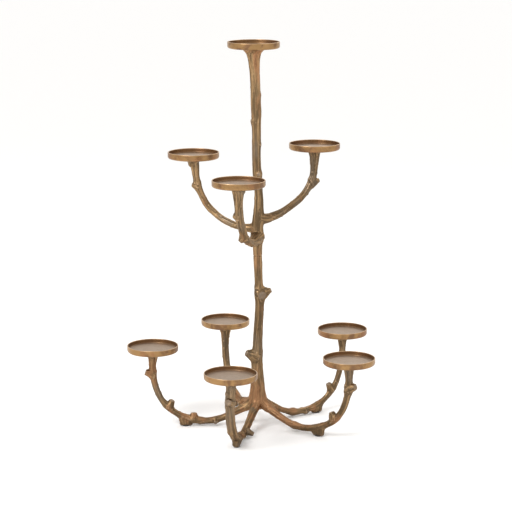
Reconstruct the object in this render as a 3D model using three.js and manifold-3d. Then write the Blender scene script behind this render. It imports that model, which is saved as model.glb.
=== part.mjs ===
// Tabletop candelabra: a cast twig-shaped trunk with five low arms and three high arms,
// each arm and the trunk ending in a shallow round candle pan.
// Millimetres, +Z up. The trunk and arms are laid out around the trunk's axis, and the
// whole object is then centred on the origin with its feet on z = 0.

import * as THREE from 'three';
import { mergeVertices } from 'three/addons/utils/BufferGeometryUtils.js';
import Module from 'manifold-3d';

const wasm = await Module();
wasm.setup();

// ---- driving dimensions -------------------------------------------------------------

const GAP = 0.3;                  // clearance between pieces that touch
const PAN_RADIUS = 44;            // a 76 mm pillar candle stands inside the rim
const PAN_HEIGHT = 10;            // underside to rim
const PAN_FLOOR = 2.2;
const PAN_WALL = 2;
const SPIGOT_RADIUS = 4;          // threaded spigot cast under each pan
const SPIGOT_LENGTH = 10;
const STUD_RADIUS = 3;            // M6 studs at the arm roots
const STUD_REACH = 11;            // how far a stud goes into each side of its joint
const TRUNK_STUD_RADIUS = 4;
const TRUNK_STUD_REACH = 16;
const ARM_RADIUS = 5.6;
const ROOT_RADIUS = 8;            // arm and boss where they meet at the trunk
const NECK_RADIUS = 14;           // flared top of an arm, under its pan
const ROOT_DISTANCE = 24;         // arm root face, measured out from the trunk's axis
const PAD_HEIGHT = 1.2;
const PAD_RADIUS = 5.5;
const FOOT_RADIUS = 7.2;
const TRUNK_SEAM = 300;           // height of the joint between the two trunk castings
const TRIM = 4;                   // castings run this far past their flat ends, then are cut back
const SLAB_WIDTH = 500;

const PAN_SEGMENTS = 32;
const ARM_SIDES = 9;
const TRUNK_SIDES = 12;
const STUB_SIDES = 8;
const ARM_STEPS = 22;
const TRUNK_STEPS = 46;
const STUD_SIDES = 12;

// Bearings are degrees round the trunk, from the front (-Y) towards the right (+X).
// reach is from the trunk's axis to the pan's centre, and rim is the height of the pan's rim.
// foot is how far out the foot stands. lift raises the middle of an arm, and sway bows it
// sideways: the castings were bent a little as they were fitted.
const LOWER_ARMS = [
  { name: 'front', bearing: -14, reach: 184.6, rim: 143.4, foot: 128, lift: 0, sway: -5 },
  { name: 'right', bearing: 58.2, reach: 179, rim: 145.9, foot: 121, lift: -1, sway: 0 },
  { name: 'rear_right', bearing: 124.8, reach: 183.2, rim: 146.3, foot: 127, lift: -2.8, sway: 0 },
  { name: 'rear_left', bearing: 199, reach: 181, rim: 146.8, foot: 125, lift: 0, sway: 0 },
  { name: 'left', bearing: -87.3, reach: 181, rim: 145.1, foot: 125, lift: -1.5, sway: 0 },
];

// The shape of a low arm from its root out to its neck: [distance out, height] for a reach of 181.
const LOWER_SHAPE = [
  [24, 32], [46, 21], [66, 12.8], [88, 9.2], [110, 11.2], [132.5, 19], [153.5, 32], [167.5, 49],
  [177, 72.5], [181, 98], [181.5, 120],
];
const LOWER_SHAPE_REACH = 181;

// The rear left arm leaves the trunk flatter than the others and dips less.
const REAR_LEFT_SHAPE = [
  [24, 34], [46, 30.5], [66, 24.5], [88, 19], [110, 18], [132.5, 23.5], [153.5, 34.5], [167.5, 50],
  [177, 72.5], [181, 98], [181.5, 120],
];

const UPPER_ARMS = [
  {
    name: 'front',
    bearing: -13.6,
    reach: 134.1,
    sway: 0,
    rim: 452.4,
    shape: [[24, 331.5], [42, 331.5], [62, 336], [82, 343], [97, 353], [110, 367],
      [122.5, 381], [131, 396.5], [134, 418]],
    stubs: [[96, 351, -55, 12], [131, 397, 10, 16]],
  },
  {
    name: 'left',
    bearing: -110.5,
    reach: 117.6,
    sway: 0,
    rim: 472.8,
    shape: [[24, 348.5], [40, 351], [54, 356], [68, 363.5], [80, 373], [92, 385], [101, 399],
      [109, 416], [113.5, 435], [116.5, 452]],
    stubs: [[110, 419, -15, 14]],
  },
  {
    name: 'right',
    bearing: 120.3,
    reach: 112.5,
    sway: 0,
    rim: 485.8,
    shape: [[24, 362.5], [40, 367], [56, 375], [72, 384], [86, 393.5], [98, 406], [106, 419],
      [110.5, 434], [112, 450], [112.5, 464]],
    stubs: [[108, 422, 0, 15]],
  },
];

const TOP_PAN = { x: -7.1, y: 0.6, rim: 664.2 };

// The trunk's outline: [height, radius] from the hub to the flared top.
const TRUNK_OUTLINE = [
  [29, 8], [36, 12.6], [48, 13.9], [62, 13.2], [80, 11.6], [100, 10], [140, 8.6], [175, 7.9],
  [215, 7.5], [250, 7], [300, 7.6], [325, 8.4], [345, 9.6], [362, 9.8], [385, 8.2], [408, 7],
  [470, 7.4], [520, 7.4], [548, 8.6], [590, 8], [615, 8.6], [632, 10], [643, 13], [654, 17.5],
];

// The trunk isn't quite straight: its axis at a few heights.
const TRUNK_AXIS = [
  [-1, 0, 29], [0, 0, 60], [-1.5, 0, 110], [0.2, 0, 160], [3, 0, 215], [1, 0, 260], [-0.3, 0, 300],
  [-0.5, 0, 345], [1.4, 0, 395], [-2, 0, 455], [-2.6, 0, 510], [-3.6, 0, 560], [-5, 0, 610],
  [-7.1, 0.6, 650], [-7.1, 0.6, 658],
];

// Sawn-off knots on the trunk: height, bearing, length from the axis, radius, upward tilt.
const TRUNK_KNOTS = [
  { height: 127, bearing: -100, length: 20, radius: 6, tilt: 25 },
  { height: 228, bearing: 85, length: 20, radius: 6.5, tilt: 35 },
  { height: 440, bearing: 5, length: 12, radius: 4.5, tilt: 0 },
  { height: 527, bearing: -80, length: 14, radius: 4.5, tilt: 10 },
];

const BRASS = { color: 0x9a7850, roughness: 0.42, metalness: 0.9 };
const PAN_BRASS = { color: 0xae9066, roughness: 0.34, metalness: 0.9 };
const STEEL = { color: 0x8c8f93, roughness: 0.4, metalness: 1 };
const FELT = { color: 0x3a342c, roughness: 0.95, metalness: 0 };

// ---- solids ---------------------------------------------------------------------------

// A closed three.js geometry as a solid that can be joined and cut.
function solid(geometry) {
  const bare = geometry.clone();
  bare.deleteAttribute('normal');
  bare.deleteAttribute('uv');
  const merged = mergeVertices(bare, 1e-4);
  return new wasm.Manifold(new wasm.Mesh({
    numProp: 3,
    vertProperties: Float32Array.from(merged.attributes.position.array),
    triVerts: Uint32Array.from(merged.index.array),
  }));
}

// A solid back as a three.js geometry with flat faces.
function geometryOf(body) {
  const mesh = body.getMesh();
  const geometry = new THREE.BufferGeometry();
  geometry.setAttribute('position', new THREE.BufferAttribute(mesh.vertProperties, 3));
  geometry.setIndex(new THREE.BufferAttribute(mesh.triVerts, 1));
  const faceted = geometry.toNonIndexed();
  faceted.computeVertexNormals();
  return faceted;
}

function node(name, geometry, finish) {
  const mesh = new THREE.Mesh(geometry, new THREE.MeshStandardMaterial(finish));
  mesh.name = name;
  return mesh;
}

// Straight-line interpolation through [position, value] pairs.
function interpolate(pairs, at) {
  const next = pairs.findIndex(([position]) => position >= at);
  if (next <= 0) {
    return next === 0 ? pairs[0][1] : pairs[pairs.length - 1][1];
  }
  const [from, low] = pairs[next - 1];
  const [to, high] = pairs[next];
  return THREE.MathUtils.mapLinear(at, from, to, low, high);
}

// A round bar that follows a curve: a cylinder one unit long is carried along the path, and
// radiusAt gives its radius at each fraction of the path's length. side lies across the path.
function sweep(path, radiusAt, sides, steps, side) {
  const geometry = new THREE.CylinderGeometry(1, 1, 1, sides, steps);
  const position = geometry.attributes.position;
  for (let i = 0; i < position.count; i += 1) {
    const along = THREE.MathUtils.clamp(position.getY(i) + 0.5, 0, 1);
    const tangent = path.getTangentAt(along);
    const upright = new THREE.Vector3().crossVectors(side, tangent).normalize();
    const across = new THREE.Vector3().crossVectors(tangent, upright);
    const radius = radiusAt(along);
    const point = path.getPointAt(along);
    point.addScaledVector(across, position.getX(i) * radius);
    point.addScaledVector(upright, position.getZ(i) * radius);
    position.setXYZ(i, point.x, point.y, point.z);
  }
  return geometry;
}

// A straight peg from a point along a direction, tapering between two radii.
function peg(from, direction, length, baseRadius, endRadius, sides) {
  const geometry = new THREE.CylinderGeometry(endRadius, baseRadius, length, sides);
  geometry.translate(0, length / 2, 0);
  const turn = new THREE.Quaternion().setFromUnitVectors(new THREE.Vector3(0, 1, 0), direction);
  geometry.applyQuaternion(turn);
  geometry.translate(from.x, from.y, from.z);
  return geometry;
}

function bearingVector(degrees) {
  const angle = THREE.MathUtils.degToRad(degrees);
  return new THREE.Vector3(Math.sin(angle), -Math.cos(angle), 0);
}

// ---- candle pans ----------------------------------------------------------------------

// One turned pan with its rim upright and its threaded spigot below. z = 0 is its underside.
function panGeometry() {
  const inner = PAN_RADIUS - PAN_WALL;
  const outline = [
    [0, -SPIGOT_LENGTH],
    [SPIGOT_RADIUS, -SPIGOT_LENGTH],
    [SPIGOT_RADIUS, 0],
    [PAN_RADIUS - 2.6, 0],
    [PAN_RADIUS - 0.7, 0.8],
    [PAN_RADIUS, 2.6],
    [PAN_RADIUS, PAN_HEIGHT - 0.8],
    [PAN_RADIUS - PAN_WALL / 2, PAN_HEIGHT],
    [inner, PAN_HEIGHT - 0.8],
    [inner, PAN_FLOOR + 1],
    [inner - 1.2, PAN_FLOOR],
    [0, PAN_FLOOR],
  ];
  const points = outline.map(([radius, height]) => new THREE.Vector2(radius, height));
  const pan = new THREE.LatheGeometry(points, PAN_SEGMENTS);
  pan.rotateX(Math.PI / 2);
  return pan;
}

function makePan(name, x, y, rim) {
  const pan = node(name, panGeometry(), PAN_BRASS);
  pan.position.set(x, y, rim - PAN_HEIGHT);
  return pan;
}

// The blind hole that takes a pan's spigot, cut down from a neck's top face.
function spigotHole(x, y, top) {
  const depth = SPIGOT_LENGTH + 1;
  const from = new THREE.Vector3(x, y, top + 1);
  return peg(from, new THREE.Vector3(0, 0, -1), depth + 1, SPIGOT_RADIUS + GAP, SPIGOT_RADIUS + GAP, 16);
}

// ---- arms ---------------------------------------------------------------------------

// The flat top of an arm's neck, just under its pan.
function neckTop(arm) {
  return arm.rim - PAN_HEIGHT - GAP;
}

// A block that holds everything between two heights.
function slab(bottom, top) {
  const block = new THREE.BoxGeometry(SLAB_WIDTH, SLAB_WIDTH, top - bottom);
  block.translate(0, 0, (top + bottom) / 2);
  return solid(block);
}

// 0 at the trunk and at the pan, and 1 half-way out.
function bow(out, reach) {
  return Math.sin(Math.PI * THREE.MathUtils.clamp(out / reach, 0, 1));
}

// An arm lies in the plane through the trunk's axis at its bearing. In its own frame that is
// the XZ plane, with +X pointing out.
function armPath(arm) {
  const points = arm.shape.map(([out, height]) => (
    new THREE.Vector3(out, arm.sway * bow(out, arm.reach), height)
  ));
  points.push(new THREE.Vector3(arm.reach, 0, neckTop(arm) + TRIM));
  return new THREE.CatmullRomCurve3(points, false, 'centripetal');
}

// Thick at the root, slender along the arm, then flaring out like a trumpet under the pan.
function armRadius(path) {
  const length = path.getLength();
  const profile = [
    [0, ROOT_RADIUS],
    [10 / length, ROOT_RADIUS - 0.4],
    [26 / length, ARM_RADIUS + 0.3],
    [1 - 42 / length, ARM_RADIUS],
    [1 - 24 / length, ARM_RADIUS + 1.4],
    [1 - 9 / length, ARM_RADIUS + 3.6],
    [1, NECK_RADIUS],
  ];
  return (along) => interpolate(profile, along);
}

function makeArm(name, arm) {
  const path = armPath(arm);
  const across = new THREE.Vector3(0, 1, 0);
  let body = solid(sweep(path, armRadius(path), ARM_SIDES, ARM_STEPS, across));
  for (const [out, height, tilt, length] of arm.stubs) {
    const angle = THREE.MathUtils.degToRad(tilt);
    const direction = new THREE.Vector3(Math.cos(angle), 0, Math.sin(angle));
    const from = new THREE.Vector3(out, 0, height);
    body = body.add(solid(peg(from, direction, length, 5.2, 4.2, STUB_SIDES)));
  }
  if (arm.foot) {
    const footHeight = interpolate(arm.shape, arm.foot);
    const from = new THREE.Vector3(arm.foot, arm.sway * bow(arm.foot, arm.reach), footHeight);
    const length = footHeight - PAD_HEIGHT - GAP;
    const down = new THREE.Vector3(0, 0, -1);
    body = body.add(solid(peg(from, down, length, FOOT_RADIUS, FOOT_RADIUS - 0.8, 12)));
  }
  const root = rootOf(arm);
  const drill = peg(
    root.face.clone().addScaledVector(root.outward, -1), root.outward,
    STUD_REACH + 1 + GAP, STUD_RADIUS + GAP, STUD_RADIUS + GAP, STUD_SIDES,
  );
  body = body.subtract(solid(drill));
  body = body.subtract(slab(neckTop(arm), neckTop(arm) + 4 * TRIM));
  body = body.subtract(solid(spigotHole(arm.reach, 0, neckTop(arm))));
  const mesh = node(name, geometryOf(body), BRASS);
  mesh.rotation.z = THREE.MathUtils.degToRad(arm.bearing - 90);
  return mesh;
}

// Where an arm starts, and which way it sets off, in the arm's own frame.
function rootOf(arm) {
  const path = armPath(arm);
  return { face: path.getPointAt(0), outward: path.getTangentAt(0) };
}

// The same in the trunk's frame.
function rootOnTrunk(arm) {
  const root = rootOf(arm);
  const turn = THREE.MathUtils.degToRad(arm.bearing - 90);
  const up = new THREE.Vector3(0, 0, 1);
  return {
    face: root.face.applyAxisAngle(up, turn),
    outward: root.outward.applyAxisAngle(up, turn),
  };
}

function makeArmStud(name, arm) {
  const root = rootOnTrunk(arm);
  const from = root.face.clone().addScaledVector(root.outward, -GAP - STUD_REACH);
  const length = 2 * STUD_REACH + GAP;
  return node(name, peg(from, root.outward, length, STUD_RADIUS, STUD_RADIUS, STUD_SIDES), STEEL);
}

function makePad(name, arm) {
  const pad = new THREE.CylinderGeometry(PAD_RADIUS, PAD_RADIUS, PAD_HEIGHT, 20);
  pad.rotateX(Math.PI / 2);
  const place = bearingVector(arm.bearing).multiplyScalar(arm.foot);
  place.addScaledVector(bearingVector(arm.bearing + 90), arm.sway * bow(arm.foot, arm.reach));
  const mesh = node(name, pad, FELT);
  mesh.position.set(place.x, place.y, PAD_HEIGHT / 2);
  return mesh;
}

// ---- trunk --------------------------------------------------------------------------

const trunkPath = new THREE.CatmullRomCurve3(
  TRUNK_AXIS.map(([x, y, z]) => new THREE.Vector3(x, y, z)), false, 'centripetal',
);

function trunkAxisAt(height) {
  let low = 0;
  let high = 1;
  for (let i = 0; i < 30; i += 1) {
    const middle = (low + high) / 2;
    if (trunkPath.getPointAt(middle).z < height) {
      low = middle;
    } else {
      high = middle;
    }
  }
  return trunkPath.getPointAt(low);
}

function trunkBody() {
  const top = neckTop(TOP_PAN);
  const radiusAt = (along) => interpolate(TRUNK_OUTLINE, trunkPath.getPointAt(along).z);
  let body = solid(sweep(trunkPath, radiusAt, TRUNK_SIDES, TRUNK_STEPS, new THREE.Vector3(1, 0, 0)));
  for (const knot of TRUNK_KNOTS) {
    const tilt = THREE.MathUtils.degToRad(knot.tilt);
    const direction = bearingVector(knot.bearing).multiplyScalar(Math.cos(tilt));
    direction.z = Math.sin(tilt);
    const from = trunkAxisAt(knot.height);
    body = body.add(solid(peg(from, direction, knot.length, knot.radius + 1, knot.radius, STUB_SIDES)));
  }
  for (const arm of [...LOWER, ...UPPER_ARMS]) {
    const root = rootOnTrunk(arm);
    const inner = root.face.clone().addScaledVector(root.outward, -ROOT_DISTANCE);
    const boss = peg(inner, root.outward, ROOT_DISTANCE - GAP, ROOT_RADIUS + 1, ROOT_RADIUS, 12);
    body = body.add(solid(boss));
  }
  for (const arm of [...LOWER, ...UPPER_ARMS]) {
    const root = rootOnTrunk(arm);
    const inward = root.outward.clone().negate();
    const from = root.face.clone().addScaledVector(root.outward, 1);
    const depth = STUD_REACH + 1 + 2 * GAP;
    body = body.subtract(
      solid(peg(from, inward, depth, STUD_RADIUS + GAP, STUD_RADIUS + GAP, STUD_SIDES)),
    );
  }
  body = body.subtract(solid(spigotHole(TOP_PAN.x, TOP_PAN.y, top)));
  const seam = trunkAxisAt(TRUNK_SEAM);
  const down = new THREE.Vector3(0, 0, -1);
  const holeTop = seam.clone();
  holeTop.z += TRUNK_STUD_REACH + GAP;
  const hole = peg(
    holeTop, down, 2 * (TRUNK_STUD_REACH + GAP), TRUNK_STUD_RADIUS + GAP, TRUNK_STUD_RADIUS + GAP, 12,
  );
  return body.subtract(solid(hole));
}

function makeTrunkStud() {
  const from = trunkAxisAt(TRUNK_SEAM);
  from.z -= TRUNK_STUD_REACH;
  const up = new THREE.Vector3(0, 0, 1);
  const length = 2 * TRUNK_STUD_REACH;
  return node('trunk_stud', peg(from, up, length, TRUNK_STUD_RADIUS, TRUNK_STUD_RADIUS, 12), STEEL);
}

// ---- assembly -------------------------------------------------------------------------

// Four of the five low arms share one shape. Each is stretched to its own reach.
const LOWER = LOWER_ARMS.map((arm) => {
  const stretch = arm.reach / LOWER_SHAPE_REACH;
  const base = arm.name === 'rear_left' ? REAR_LEFT_SHAPE : LOWER_SHAPE;
  const shape = base.map(([out, height]) => {
    const reached = out <= ROOT_DISTANCE ? out : out * stretch;
    return [reached, height + arm.lift * bow(reached, arm.reach)];
  });
  return {
    ...arm,
    shape,
    stubs: [[155 * stretch, 36, 120, 16], [180 * stretch, 94, 15, 15]],
  };
});

const candelabra = new THREE.Group();
const wholeTrunk = trunkBody();
candelabra.add(
  node('trunk_lower', geometryOf(wholeTrunk.intersect(slab(0, TRUNK_SEAM - GAP / 2))), BRASS),
  node('trunk_upper', geometryOf(wholeTrunk.intersect(slab(TRUNK_SEAM + GAP / 2, neckTop(TOP_PAN)))), BRASS),
  makeTrunkStud(),
);

for (const arm of LOWER) {
  const place = bearingVector(arm.bearing).multiplyScalar(arm.reach);
  candelabra.add(
    makeArm(`lower_arm_${arm.name}`, arm),
    makeArmStud(`lower_stud_${arm.name}`, arm),
    makePan(`lower_pan_${arm.name}`, place.x, place.y, arm.rim),
    makePad(`foot_pad_${arm.name}`, arm),
  );
}

for (const arm of UPPER_ARMS) {
  const place = bearingVector(arm.bearing).multiplyScalar(arm.reach);
  candelabra.add(
    makeArm(`upper_arm_${arm.name}`, arm),
    makeArmStud(`upper_stud_${arm.name}`, arm),
    makePan(`upper_pan_${arm.name}`, place.x, place.y, arm.rim),
  );
}

candelabra.add(makePan('top_pan', TOP_PAN.x, TOP_PAN.y, TOP_PAN.rim));

// Stand the object on z = 0 with its outer box centred on the Z axis.
const outline = new THREE.Box3().setFromObject(candelabra, true);
const middle = outline.getCenter(new THREE.Vector3());
candelabra.position.set(-middle.x, -middle.y, -outline.min.z);

export default candelabra;
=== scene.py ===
"""Visual model of a tabletop candelabra cast as a branching twig in antique brass.

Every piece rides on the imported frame. The trunk and arms are bars of varying girth carried along
smooth paths, fused with their sawn stubs into one skin, then given bark ridges. The pans are
turned profiles. All places come from the frame's boxes; lengths below are in millimetres and
are turned into metres by the MM constant.
"""

import logging
import math
from dataclasses import dataclass, field, replace
from enum import Enum
from typing import Sequence

import bpy
import numpy as np
from mathutils import Matrix, Vector


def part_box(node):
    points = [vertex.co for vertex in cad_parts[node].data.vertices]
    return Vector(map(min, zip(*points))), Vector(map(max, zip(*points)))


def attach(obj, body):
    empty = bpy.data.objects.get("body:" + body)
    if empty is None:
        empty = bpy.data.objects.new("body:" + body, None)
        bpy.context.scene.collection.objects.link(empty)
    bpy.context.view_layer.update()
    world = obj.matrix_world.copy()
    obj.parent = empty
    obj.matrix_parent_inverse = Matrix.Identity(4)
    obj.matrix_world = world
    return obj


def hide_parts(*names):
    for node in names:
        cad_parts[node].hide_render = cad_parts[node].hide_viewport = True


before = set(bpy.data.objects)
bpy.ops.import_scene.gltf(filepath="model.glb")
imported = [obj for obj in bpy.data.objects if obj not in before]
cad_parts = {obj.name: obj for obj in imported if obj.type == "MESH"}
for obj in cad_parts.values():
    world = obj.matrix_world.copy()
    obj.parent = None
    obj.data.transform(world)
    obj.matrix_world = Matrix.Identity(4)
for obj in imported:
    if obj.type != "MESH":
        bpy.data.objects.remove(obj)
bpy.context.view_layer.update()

LOG = logging.getLogger("candelabra")
MM = 0.001
BODY = "root"
UP = np.array([0.0, 0.0, 1.0])

Colour = tuple[float, float, float, float]
Stations = Sequence[tuple[float, float]]
Socket = bpy.types.NodeSocket


# ---- arrays and noise ----------------------------------------------------------------------------


LAYER_SEED_STEP = 17
LAYERED_RANGE = 1.6


def unit(vectors: np.ndarray) -> np.ndarray:
    """Each row divided by its own length."""
    return vectors / np.maximum(np.linalg.norm(vectors, axis=-1, keepdims=True), 1e-12)


def lattice(cells: np.ndarray, seed: int) -> np.ndarray:
    """Repeatable random values at whole-number points.

    Args:
        cells: Integer coordinates, (..., 3).
        seed: Which set of values.

    Returns:
        Values between -1 and 1: the coordinates are mixed by multiplying, shifting and xor.
    """
    mask = 0xFFFFFFFF
    whole = cells.astype(np.int64)
    mixed = whole[..., 0] * 374761393 + whole[..., 1] * 668265263 + whole[..., 2] * 974634777
    mixed = (mixed + seed * 1274126177) & mask
    mixed = ((mixed ^ (mixed >> 13)) * 1103515245) & mask
    mixed = ((mixed ^ (mixed >> 16)) * 747796405) & mask
    return (mixed ^ (mixed >> 15)) / float(mask) * 2.0 - 1.0


def noise(points: np.ndarray, seed: int) -> np.ndarray:
    """Smooth noise of cell size one: lattice values blended by the cubic 3t^2 - 2t^3.

    Args:
        points: Positions, (n, 3).
        seed: Which noise.

    Returns:
        Values between -1 and 1, (n,).
    """
    low = np.floor(points)
    share = points - low
    share = share * share * (3.0 - 2.0 * share)
    total = np.zeros(len(points))
    for corner in np.ndindex(2, 2, 2):
        step = np.array(corner, float)
        weight = np.prod(np.where(step > 0, share, 1.0 - share), axis=1)
        total += weight * lattice(low + step, seed)
    return total


def layered(points: np.ndarray, seed: int, layers: int = 3) -> np.ndarray:
    """Noise summed over octaves, each twice as fine and half as strong.

    Args:
        points: Positions, (n, 3).
        seed: Which noise.
        layers: How many octaves.

    Returns:
        Values within about -1 and 1, (n,).
    """
    total = np.zeros(len(points))
    for layer in range(layers):
        total += noise(points * 2.0**layer, seed + LAYER_SEED_STEP * layer) * 0.5**layer
    return total / LAYERED_RANGE


def smoothstep(low: float, high: float, value: np.ndarray) -> np.ndarray:
    """0 below low, 1 above high, and the cubic ease between."""
    share = np.clip((value - low) / (high - low), 0.0, 1.0)
    return share * share * (3.0 - 2.0 * share)


# ---- paths and bars ------------------------------------------------------------------------------


class Path:
    """A smooth curve through knots, sampled at even steps, with a frame at each sample."""

    STEP = 0.8 * MM
    SAMPLES_PER_KNOT = 60

    def __init__(self, knots: np.ndarray, side: Sequence[float]) -> None:
        """Fits cubic Hermite spans on centripetal spacing, then evens the steps out.

        Args:
            knots: Points that the curve passes through, (k, 3), in metres.
            side: A direction that lies across the curve all the way along.
        """
        self.points = self._through(np.asarray(knots, float))
        self.tangents = unit(np.gradient(self.points, axis=0))
        flat = np.asarray(side, float)[None, :]
        along = np.sum(flat * self.tangents, axis=1, keepdims=True)
        self.across = unit(flat - along * self.tangents)
        self.upright = np.cross(self.tangents, self.across)
        steps = np.linalg.norm(np.diff(self.points, axis=0), axis=1)
        self.travel = np.concatenate([[0.0], np.cumsum(steps)])
        self.length = float(self.travel[-1])

    def _through(self, knots: np.ndarray) -> np.ndarray:
        """Samples the curve: each span blends its end points and slopes by Hermite cubics.

        Args:
            knots: Points that the curve passes through, (k, 3).

        Returns:
            Points one even step apart, (n, 3).
        """
        spans = np.linalg.norm(np.diff(knots, axis=0), axis=1) ** 0.5
        stations = np.concatenate([[0.0], np.cumsum(spans)])
        slopes = np.gradient(knots, stations, axis=0)
        at = np.linspace(0.0, stations[-1], self.SAMPLES_PER_KNOT * len(knots))
        index = np.clip(np.searchsorted(stations, at, side="right") - 1, 0, len(stations) - 2)
        gap = (stations[index + 1] - stations[index])[:, None]
        share = ((at - stations[index]) / gap[:, 0])[:, None]
        start = (1 + 2 * share) * (1 - share) ** 2
        leave = share * (1 - share) ** 2
        finish = share**2 * (3 - 2 * share)
        arrive = share**2 * (share - 1)
        curve = (
            start * knots[index]
            + leave * gap * slopes[index]
            + finish * knots[index + 1]
            + arrive * gap * slopes[index + 1]
        )
        run = np.concatenate([[0.0], np.cumsum(np.linalg.norm(np.diff(curve, axis=0), axis=1))])
        even = np.linspace(0.0, run[-1], max(4, int(run[-1] / self.STEP) + 1))
        return np.stack([np.interp(even, run, curve[:, axis]) for axis in range(3)], axis=1)


@dataclass
class Bar:
    """A bar of varying girth carried along a path.

    girth and flute hold (fraction along, value) stations: the radius in mm, and the depth of the
    lengthwise hollows as a share of the radius. twist is in turns over the whole path. first and
    last pick the stretch of the path that is solid, and hollow dishes its far end, in mm.
    """

    LOBE_POWER = 0.8
    LOBE_MEAN = 0.66

    path: Path
    girth: Stations
    flutes: int = 0
    flute: Stations = ((0.0, 0.0),)
    twist: float = 0.0
    phase: float = 0.0
    sawn: bool = False
    first: float = 0.0
    last: float = 1.0
    hollow: float = 0.0

    def radius(self, travel: np.ndarray) -> np.ndarray:
        """The mean radius at each distance along, in metres."""
        fraction, value = np.array(self.girth, float).T
        return np.interp(travel / self.path.length, fraction, value) * MM

    def section(self, travel: np.ndarray, angle: np.ndarray) -> np.ndarray:
        """The radius at a distance along and an angle round.

        The mean radius is multiplied by 1 plus the flute depth times a row of rounded lobes,
        |cos| of half the flute count times the turned angle, less its mean.

        Args:
            travel: Distance along the path in metres.
            angle: Angle round it in radians, of a shape that broadcasts with travel.

        Returns:
            The radius in metres.
        """
        fraction, value = np.array(self.flute, float).T
        share = travel / self.path.length
        depth = np.interp(share, fraction, value)
        turned = angle - self.phase - 2 * math.pi * self.twist * share
        lobes = np.abs(np.cos(0.5 * self.flutes * turned)) ** self.LOBE_POWER - self.LOBE_MEAN
        return self.radius(travel) * (1.0 + depth * lobes)

    def _rows(self) -> tuple[int, int]:
        """The first and the last path sample of the solid stretch."""
        final = len(self.path.travel) - 1
        return int(round(self.first * final)), int(round(self.last * final))

    def skin(self, sides: int = 40) -> tuple[np.ndarray, np.ndarray, list[int]]:
        """The bar as a closed grid: rings of points, quads between them and a fan at each end.

        Args:
            sides: Points in a ring.

        Returns:
            Vertices (n, 3), corner indices of all faces in a row, and each face's corner count.
        """
        low, high = self._rows()
        rows = slice(low, high + 1)
        travel = self.path.travel[rows]
        angle = np.linspace(0.0, 2 * math.pi, sides, endpoint=False)
        reach = self.section(travel[:, None], angle[None, :])
        spoke = (
            np.cos(angle)[None, :, None] * self.path.across[rows, None, :]
            + np.sin(angle)[None, :, None] * self.path.upright[rows, None, :]
        )
        rings = self.path.points[rows, None, :] + reach[:, :, None] * spoke
        ends = self.path.points[[low, high]].copy()
        ends[1] -= self.path.tangents[high] * self.hollow * MM
        return closed_grid(rings, ends)

    def locate(self, points: np.ndarray) -> tuple[np.ndarray, np.ndarray, np.ndarray]:
        """Where points lie along and round the bar.

        Args:
            points: Positions, (n, 3).

        Returns:
            Distance along, angle round, and distance out from the centre line, each (n,).
        """
        low, high = self._rows()
        centres = self.path.points[low:high + 1]
        gaps = (centres**2).sum(1)[None, :] - 2.0 * points @ centres.T
        nearest = np.argmin(gaps, axis=1) + low
        offset = points - self.path.points[nearest]
        onward = np.sum(offset * self.path.tangents[nearest], axis=1)
        across = np.sum(offset * self.path.across[nearest], axis=1)
        upright = np.sum(offset * self.path.upright[nearest], axis=1)
        travel = self.path.travel[nearest] + onward
        return travel, np.arctan2(upright, across), np.hypot(across, upright)


def ring_quads(count: int, sides: int) -> np.ndarray:
    """The quads that join each ring of a stack to the next.

    Args:
        count: How many rings.
        sides: Points in a ring, numbered round it and then from ring to ring.

    Returns:
        Corner indices, (count - 1, sides, 4).
    """
    here = np.arange(sides)
    onward = (here + 1) % sides
    row = (np.arange(count - 1) * sides)[:, None]
    return np.stack([row + here, row + onward, row + sides + onward, row + sides + here], axis=-1)


def closed_grid(rings: np.ndarray, ends: np.ndarray) -> tuple[np.ndarray, np.ndarray, list[int]]:
    """A stack of rings closed by a fan of triangles at each end.

    Args:
        rings: Ring points, (rings, sides, 3), turning anticlockwise about the way they stack.
        ends: The middle points of the first and last fans, (2, 3).

    Returns:
        Vertices, corner indices of all faces in a row, and each face's corner count.
    """
    count, sides = rings.shape[:2]
    vertices = np.concatenate([rings.reshape(-1, 3), ends])
    quads = ring_quads(count, sides)
    here = np.arange(sides)
    onward = (here + 1) % sides
    top = (count - 1) * sides
    bottom_fan = np.stack([onward, here, np.full(sides, count * sides)], axis=-1)
    top_fan = np.stack([top + here, top + onward, np.full(sides, count * sides + 1)], axis=-1)
    corners = np.concatenate([quads.reshape(-1), bottom_fan.reshape(-1), top_fan.reshape(-1)])
    sizes = [4] * (quads.size // 4) + [3] * (2 * sides)
    return vertices, corners, sizes


def new_mesh(
    name: str, vertices: np.ndarray, corners: np.ndarray, sizes: Sequence[int],
) -> bpy.types.Mesh:
    """A mesh from whole arrays.

    Args:
        name: The mesh's name.
        vertices: Positions, (n, 3).
        corners: Vertex indices of all faces in a row.
        sizes: How many corners each face has.

    Returns:
        The mesh, smooth shaded.
    """
    mesh = bpy.data.meshes.new(name)
    counts = np.asarray(sizes, np.int32)
    starts = np.concatenate([[0], np.cumsum(counts)[:-1]]).astype(np.int32)
    mesh.vertices.add(len(vertices))
    mesh.vertices.foreach_set("co", np.asarray(vertices, np.float32).ravel())
    mesh.loops.add(len(corners))
    mesh.loops.foreach_set("vertex_index", np.asarray(corners, np.int32))
    mesh.polygons.add(len(counts))
    mesh.polygons.foreach_set("loop_start", starts)
    mesh.polygons.foreach_set("use_smooth", np.ones(len(counts), bool))
    mesh.update(calc_edges=True)
    mesh.validate()
    return mesh


def read_vectors(items: bpy.types.bpy_prop_collection, key: str) -> np.ndarray:
    """One vector from each item of a mesh's list.

    Args:
        items: The vertices, or the normals.
        key: The vector's name there.

    Returns:
        The vectors, (n, 3).
    """
    flat = np.empty(len(items) * 3, np.float32)
    items.foreach_get(key, flat)
    return flat.reshape(-1, 3).astype(float)


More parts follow.
